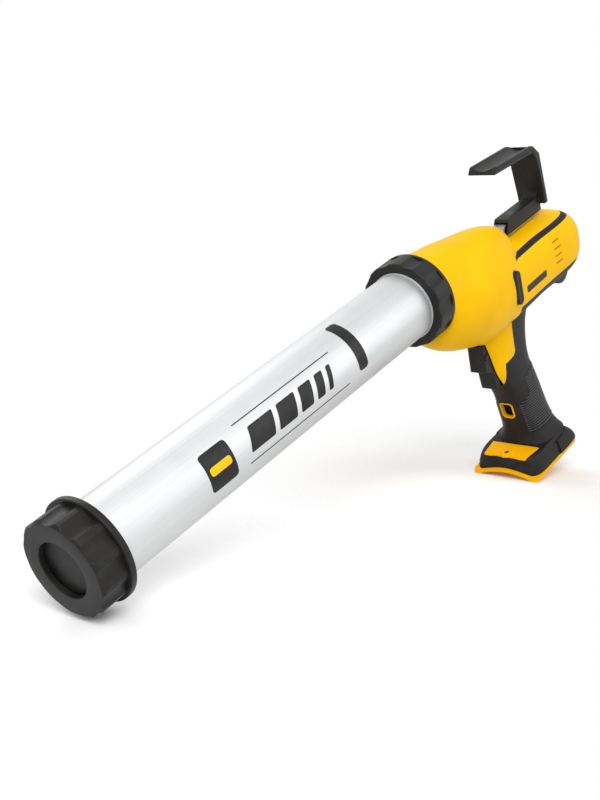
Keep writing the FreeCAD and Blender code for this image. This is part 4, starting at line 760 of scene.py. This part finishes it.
def tube_mark(name, span, arc, corner, slant=0.0, material=PRINT_DARK, slot="black_plastic", lift=0.09):
    """A thin printed mark wrapped on the tube: X span and corner in mm, arc in degrees."""
    row_length, least_rows, sink = 0.5, 6, 0.05
    length = math.radians(arc[1] - arc[0]) * TUBE_RADIUS
    rows = max(least_rows, int(length / row_length))
    rings = []
    for row in range(rows + 1):
        off = length * row / rows
        inset = corner_inset(off, length, corner)
        turn = math.radians(arc[0]) + off / TUBE_RADIUS
        lean = slant * (off - length / 2)
        front, rear = span[0] + inset + lean, span[1] - inset + lean
        ring = []
        for x, height in ((front, lift), (rear, lift), (rear, -sink), (front, -sink)):
            reach = (TUBE_RADIUS + height) * MM
            ring.append((x * MM, -reach * math.cos(turn), reach * math.sin(turn)))
        rings.append(ring)
    add_piece(name, finished_mesh(name, lofted_shape(rings)), "body", slot, material)


def barrel_marks():
    """Plain printed marks on the tube's left side: a badge, two pin lines, bars and a band."""
    tube_mark("tube_badge", (107.0, 133.5), (-14.0, 42.0), 3.0)
    tube_mark("tube_badge_stripe", (110.0, 130.5), (8.0, 20.0), 2.0, material=PRINT_YELLOW,
              slot="yellow_plastic", lift=0.14)
    tube_mark("tube_line_upper", (146.0, 256.0), (47.0, 48.6), 0.3)
    tube_mark("tube_line_lower", (146.0, 262.0), (-14.0, -12.4), 0.3)
    start, gap = 152.0, 5.0
    for index, width in enumerate((26.0, 20.0, 14.0, 9.0, 5.0)):
        tube_mark(f"tube_bar_{index}", (start, start + width), (0.0, 34.0), 1.2, slant=0.35)
        start += width + gap
    tube_mark("tube_band", (275.5, 286.5), (-8.0, 84.0), 3.0)


# Body

# The ribbed panel's top on the handle's axis, its lean and its height
RIB_TOP_X, RIB_TOP_Z, RIB_LEAN, RIB_HEIGHT = 0.5165, -0.128, 0.0160, 0.063
RIB_COUNT, RIB_STEPS = 25, 80
RIB_SINK, RIB_END_SINK = 0.0001, 0.0009
RIB_SCREW_CLEAR = 0.0048
# A ray that looks for a surface starts this far out, beyond the whole tool
RAY_REACH = 0.2
# Foot plate's screw place along X, in millimetres
FOOT_SCREW_X = 489.0


def body_looks():
    """Casing halves, grips, inlays and the small outside pieces."""
    for side in ("left", "right"):
        smooth_skin(f"{side}_housing", HOUSING_SEAMED)
        smooth_skin(f"{side}_grip", GRIP_SEAMED)
        smooth_skin(f"{side}_stripe")
        smooth_skin(f"{side}_bumper")
    softened("battery_rail", 0.0005)
    eased("foot_plate", 0.0006, 0.002)
    smooth_skin("window_frame")


def rib_sweep(share):
    """How far a rib reaches round the handle from its back, from the panel's top to its end."""
    half_turn, extra_turn = 104.0, 44.0
    crown_share, waist_share, flare_share = 0.10, 0.36, 0.12
    if share < waist_share:
        return math.radians(half_turn) * min(1.0, share / crown_share) ** 0.5
    flare = min(1.0, (share - waist_share) / flare_share)
    return math.radians(half_turn + extra_turn * flare)


def grip_ribs():
    """Ribs that wrap the handle: a rounded panel at the back that widens to the window."""
    skin = surface_of("left_grip", "right_grip")
    holes = [(low + high) / 2 for low, high in islands("housing_screws")]
    points, edges = [], []
    for rib in range(RIB_COUNT):
        share = (rib + 0.5) / RIB_COUNT
        axis = Vector((RIB_TOP_X + RIB_LEAN * share, 0.0, RIB_TOP_Z - RIB_HEIGHT * share))
        sweep = rib_sweep(share)
        first = len(points)
        for step in range(RIB_STEPS + 1):
            turn = sweep * (2 * step / RIB_STEPS - 1)
            out = Vector((math.cos(turn), math.sin(turn), 0.0))
            spot, normal, _, _ = skin.ray_cast(axis + out * RAY_REACH, -out)
            sink = RIB_SINK if 0 < step < RIB_STEPS else RIB_END_SINK
            points.append(spot - normal * sink)
        for step in range(first, first + RIB_STEPS):
            middle = (points[step] + points[step + 1]) / 2
            gaps = [math.hypot(middle.x - hole.x, middle.z - hole.z) for hole in holes]
            if middle.y < 0 or min(gaps) > RIB_SCREW_CLEAR:
                edges.append((step, step + 1))
    lines = bpy.data.meshes.new("grip_rib_lines")
    lines.from_pydata(points, edges, [])
    tree = rib_tree("grip_rib_sweep", RIB_RUBBER)
    mesh = baked("grip_ribs", lines, tree, {"Rib Radius": 0.00095, "Rib Sides": 10})
    add_piece("grip_ribs", mesh, "body", "grip_black", RIB_RUBBER)


def screw_painted_recess_shades():
    """Flat dark stars on the heads of the casing and hook screws: painted shade where their drive recesses
    are.
    """
    # Painted shade: each star is a flat dark sheet laid just over a screw head for the shade inside its
    # drive recess
    tree = painted_shade_star_tree("drive_recess_painted_shade", SCREW_BLACK)
    lift = 0.00003
    sideways, upward = (-math.pi / 2, 0.0, 0.0), (0.0, 0.0, 0.0)
    jobs = (("housing_screws", "y", sideways, 0.0019), ("hook_screws", "z", upward, 0.0020))
    for node, axis, facing, radius in jobs:
        spots = []
        for low, high in islands(node):
            spot = (low + high) / 2
            setattr(spot, axis, getattr(high, axis) + lift)
            spots.append(spot)
        seed = bpy.data.meshes.new(f"{node}_seed")
        seed.from_pydata(spots, [], [])
        mesh = baked(f"{node}_painted_recess_shades", seed, tree, {"Star Radius": radius, "Facing": facing})
        add_piece(f"{node}_painted_recess_shades", mesh, BODIES[node], "screw_steel", SCREW_BLACK)


def motor_side_bar():
    """A thin plain bar on the motor case's left side; its span and levels are millimetres."""
    front, rear, bottom, top, corner = 514.0, 552.0, -47.5, -41.0, 1.6
    rows, columns, start_y, lift = 10, 24, -60.0, 0.0001
    skin = surface_of("left_housing")
    shape = bmesh.new()
    grid = []
    for row in range(rows + 1):
        up = (top - bottom) * row / rows
        inset = corner_inset(up, top - bottom, corner)
        line = []
        for column in range(columns + 1):
            x = front + inset + (rear - front - 2 * inset) * column / columns
            start = Vector((x, start_y, bottom + up)) * MM
            spot, normal, _, _ = skin.ray_cast(start, Vector((0.0, 1.0, 0.0)))
            line.append(shape.verts.new(spot + normal * lift))
        grid.append(line)
    for low, high in zip(grid, grid[1:]):
        for column in range(columns):
            shape.faces.new((low[column], low[column + 1], high[column + 1], high[column]))
    add_piece("motor_side_bar", finished_mesh("motor_side_bar", shape), "body", "black_plastic", PRINT_DARK)


def foot_plate_spot(lift):
    """The place of the foot plate's screw, a lift in millimetres over the plate's top."""
    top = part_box("foot_plate")[1].z
    return Vector((FOOT_SCREW_X * MM, 0.0, top + lift * MM))


def foot_plate_boss():
    """The sloped mound round the screw hole of the foot plate."""
    mound = [(0.0, 2.2, 0.3), (0.0, 4.2, 1.0), (1.5, 6.6, 0.8), (2.4, 6.9, 0), (2.4, 2.2, 0)]
    shape = stood_up(turned_shape(mound, 96), foot_plate_spot(0.6))
    add_beside("foot_plate", "foot_plate_boss", finished_mesh("foot_plate_boss", shape))


def foot_plate_screw():
    """The socket screw in the foot plate's boss."""
    head = [(0.0, 0.9, 0.2), (0.0, 2.4, 0.5), (1.4, 2.4, 0), (1.4, 0.9, 0)]
    shape = stood_up(turned_shape(head, 48), foot_plate_spot(0.1))
    mesh = finished_mesh("foot_plate_screw", shape)
    add_piece("foot_plate_screw", mesh, "body", "screw_steel", SCREW_BLACK)


# Moving pieces


def moving_looks():
    """Hook, trigger, buttons and dial with softened edges."""
    eased("pull_hook", 0.0012, 0.0025)
    rounded_form("trigger", 0.0004, 20)
    smooth_skin("release_button")
    softened("speed_dial", 0.0004)
    softened("lock_button", 0.0004)


def dial_ribs():
    """Grip bars round the speed wheel."""
    low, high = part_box("speed_dial")
    tree = ring_tree("dial_rib_ring", FINISHES["black_plastic"])
    values = {"Bars": 22, "Ring Radius": 0.0150, "Bar Radius": 0.0008, "Bar Length": 0.0236,
              "Bar Sides": 12, "Centre": (low + high) / 2}
    mesh = baked("dial_ribs", bpy.data.meshes.new("dial_rib_seed"), tree, values)
    add_piece("dial_ribs", mesh, "dial", "black_plastic", FINISHES["black_plastic"])


def hook_root():
    """The moulded fillet where the hook's post meets its base, in millimetres."""
    post_front, base_top, radius, half_width = 602.0, 8.6, 7.0, 7.2
    set_back, overlap, sink, steps = 0.4, 0.4, 0.3, 12
    centre_x, centre_z = post_front - radius - set_back, base_top + radius
    outline = [(centre_x, base_top - sink)]
    for step in range(steps + 1):
        turn = -math.pi / 2 + math.pi / 2 * step / steps
        outline.append((centre_x + radius * math.cos(turn), centre_z + radius * math.sin(turn)))
    outline += [(post_front + overlap, centre_z), (post_front + overlap, base_top - sink)]
    rings = [[(x * MM, y * MM, z * MM) for x, z in outline] for y in (-half_width, half_width)]
    add_beside("pull_hook", "hook_root", finished_mesh("hook_root", lofted_shape(rings)))


def release_button_pad():
    """A soft pill pad on the release button, its face set straighter than the dome's flank."""
    half_height, half_width = 15.5 * MM, 5.0 * MM
    middle = Vector((494.5, 0.0, -33.5)) * MM
    # Steps of the pad's edge from its root to its face: how far in and how far out, in millimetres
    edge_steps = ((0.0, -5.0), (0.0, -0.9), (0.25, -0.35), (0.9, 0.0), (2.0, 0.05), (3.4, -0.25))
    segments, probe_share, tilt_share, start_y = 48, 0.9, 0.25, -0.06
    skin = surface_of("release_button")

    def flank(x):
        spot, _, _, _ = skin.ray_cast(Vector((x, start_y, middle.z)), Vector((0.0, 1.0, 0.0)))
        return spot.y

    front, rear = middle.x - half_width * probe_share, middle.x + half_width * probe_share
    front_y = flank(front)
    tilt = tilt_share * (flank(rear) - front_y) / (rear - front)
    straight = half_height - half_width
    rings = []
    for inset, lift in edge_steps:
        radius = half_width - inset * MM
        ring = []
        for step in range(segments):
            turn = 2 * math.pi * step / segments
            x = middle.x + radius * math.cos(turn)
            z = middle.z + radius * math.sin(turn) + math.copysign(straight, math.sin(turn))
            ring.append((x, front_y + tilt * (x - front) - lift * MM, z))
        rings.append(ring)
    mesh = finished_mesh("release_button_pad", lofted_shape(rings), 35.0)
    add_beside("release_button", "release_button_pad", mesh)


def bare_frame_looks():
    """Gives every CAD node that is shown as it is the finish of its slot."""
    for name, node in NODES.items():
        node.data.materials.clear()
        blacked = name in ("piston_screw", "hook_screws")
        node.data.materials.append(SCREW_BLACK if blacked else FINISHES[SLOTS[name]])


# Studio

# The sheet is level under the cap, folds at a place along X and slopes down to the foot
SHEET_FOLD, SHEET_BEND, SHEET_LEVEL, SHEET_SLOPE = 0.0094, 0.008, -0.0378, -0.3946
SHEET_HALF_WIDTH, SHEET_FOLD_STEPS = 0.8, 16
# Where the sheet shows: round a point, fully within the first radius and not past the second
SHEET_SHOWN = (((0.01, 0.0, -0.04), 0.11, 0.27), ((0.53, 0.02, -0.23), 0.11, 0.29))
SKY_LIGHT, SKY_SEEN = 0.62, 1.0
LAMP_TARGET = (0.40, 0.0, -0.05)
# The photo camera's place and its axes
CAMERA_PLACE = (-0.3297, -0.5433, 0.3577)
CAMERA_RIGHT = (0.5944, -0.7716, -0.2267)
CAMERA_UP = (0.4696, 0.1041, 0.8767)
CAMERA_BACK = (-0.6529, -0.6276, 0.4242)


def sheet_height(x):
    """Height of the sheet: level under the cap, then down to the foot's front edge."""
    past = x - SHEET_FOLD
    if past <= -SHEET_BEND:
        return SHEET_LEVEL
    if past >= SHEET_BEND:
        return SHEET_LEVEL + SHEET_SLOPE * past
    return SHEET_LEVEL + SHEET_SLOPE * (past + SHEET_BEND) ** 2 / (4 * SHEET_BEND)


def sheet_material():
    """Pale paper that fades out away from the cap and the foot, and from below."""
    material, tree, shader, place = new_material("studio_sheet")
    mottle = add_node(tree, "ShaderNodeTexNoise", {"Vector": place, "Scale": 9.0, "Detail": 4.0})
    tint = mix_colour(tree, mottle.outputs[0], (0.93, 0.93, 0.93, 1.0), (0.97, 0.97, 0.97, 1.0))
    tree.links.new(tint, shader.inputs["Base Color"])
    near = []
    for spot, inner, outer in SHEET_SHOWN:
        away = add_node(tree, "ShaderNodeVectorMath", {0: place, 1: spot}, operation="DISTANCE")
        near.append(remap(tree, away.outputs["Value"], inner, outer, 1.0, 0.0))
    shown = math_node(tree, "MAXIMUM", *near)
    under = tree.nodes.new("ShaderNodeNewGeometry").outputs["Backfacing"]
    alpha = math_node(tree, "MULTIPLY", shown, math_node(tree, "SUBTRACT", 1.0, under))
    tree.links.new(alpha, shader.inputs["Alpha"])
    shader.inputs["Roughness"].default_value = 0.9
    shader.inputs["Specular IOR Level"].default_value = 0.0
    return material


def studio_floor():
    """A pale sheet that the tool stands on, shown only round the cap and the foot."""
    step_length = 2 * SHEET_BEND / SHEET_FOLD_STEPS
    fold = [SHEET_FOLD - SHEET_BEND + step_length * step for step in range(SHEET_FOLD_STEPS + 1)]
    stations = [-0.5, -0.2] + fold + [0.2, 0.5, 1.0]
    points = [(x, y, sheet_height(x)) for x in stations for y in (-SHEET_HALF_WIDTH, SHEET_HALF_WIDTH)]
    faces = [(2 * i, 2 * i + 2, 2 * i + 3, 2 * i + 1) for i in range(len(stations) - 1)]
    mesh = bpy.data.meshes.new("studio_sheet")
    mesh.from_pydata(points, [], faces)
    mesh.shade_smooth()
    mesh.materials.append(sheet_material())
    new_object("studio_sheet", mesh)


def studio_lamp(name, place, size, power):
    """A soft square lamp that faces the tool's middle."""
    lamp = bpy.data.lights.new(name, "AREA")
    lamp.size = size
    lamp.energy = power
    obj = new_object(name, lamp)
    obj.location = place
    aim = Vector(LAMP_TARGET) - Vector(place)
    obj.rotation_euler = aim.to_track_quat("-Z", "Y").to_euler()


def studio_light():
    """White surroundings, a key from the upper left and two softer lamps."""
    world = bpy.data.worlds.new("studio_white")
    bpy.context.scene.world = world
    world.use_nodes = True
    tree = world.node_tree
    tree.nodes.clear()
    path = tree.nodes.new("ShaderNodeLightPath")
    seen = math_node(tree, "MAXIMUM", path.outputs["Is Camera Ray"], path.outputs["Is Glossy Ray"])
    seen = math_node(tree, "MAXIMUM", seen, path.outputs["Is Transmission Ray"])
    strength = remap(tree, seen, 0.0, 1.0, SKY_LIGHT, SKY_SEEN)
    sky = add_node(tree, "ShaderNodeBackground", {"Color": (1.0, 1.0, 1.0, 1.0), "Strength": strength})
    output = tree.nodes.new("ShaderNodeOutputWorld")
    tree.links.new(sky.outputs[0], output.inputs["Surface"])
    studio_lamp("key_lamp", (-0.30, -0.90, 1.30), 0.9, 20.0)
    studio_lamp("fill_lamp", (1.30, -1.10, 0.35), 1.0, 5.0)
    studio_lamp("rim_lamp", (0.90, 1.10, 0.90), 0.9, 6.0)


def studio_camera():
    """The photo's camera."""
    camera = bpy.data.cameras.new("photo_camera")
    camera.sensor_width = 36.0
    camera.lens = 53.33
    camera.clip_start = 0.01
    camera.clip_end = 50.0
    obj = new_object("photo_camera", camera)
    turn = Matrix((CAMERA_RIGHT, CAMERA_UP, CAMERA_BACK)).transposed().to_4x4()
    obj.matrix_world = Matrix.Translation(CAMERA_PLACE) @ turn
    bpy.context.scene.camera = obj


bare_frame_looks()
barrel_looks()
tube_clamp_ring()
barrel_marks()
body_looks()
grip_ribs()
dial_ribs()
screw_painted_recess_shades()
motor_side_bar()
moving_looks()
release_button_pad()
piston_face()
foot_plate_boss()
foot_plate_screw()
hook_root()
studio_floor()
studio_light()
studio_camera()
bpy.context.scene.view_settings.view_transform = "Standard"
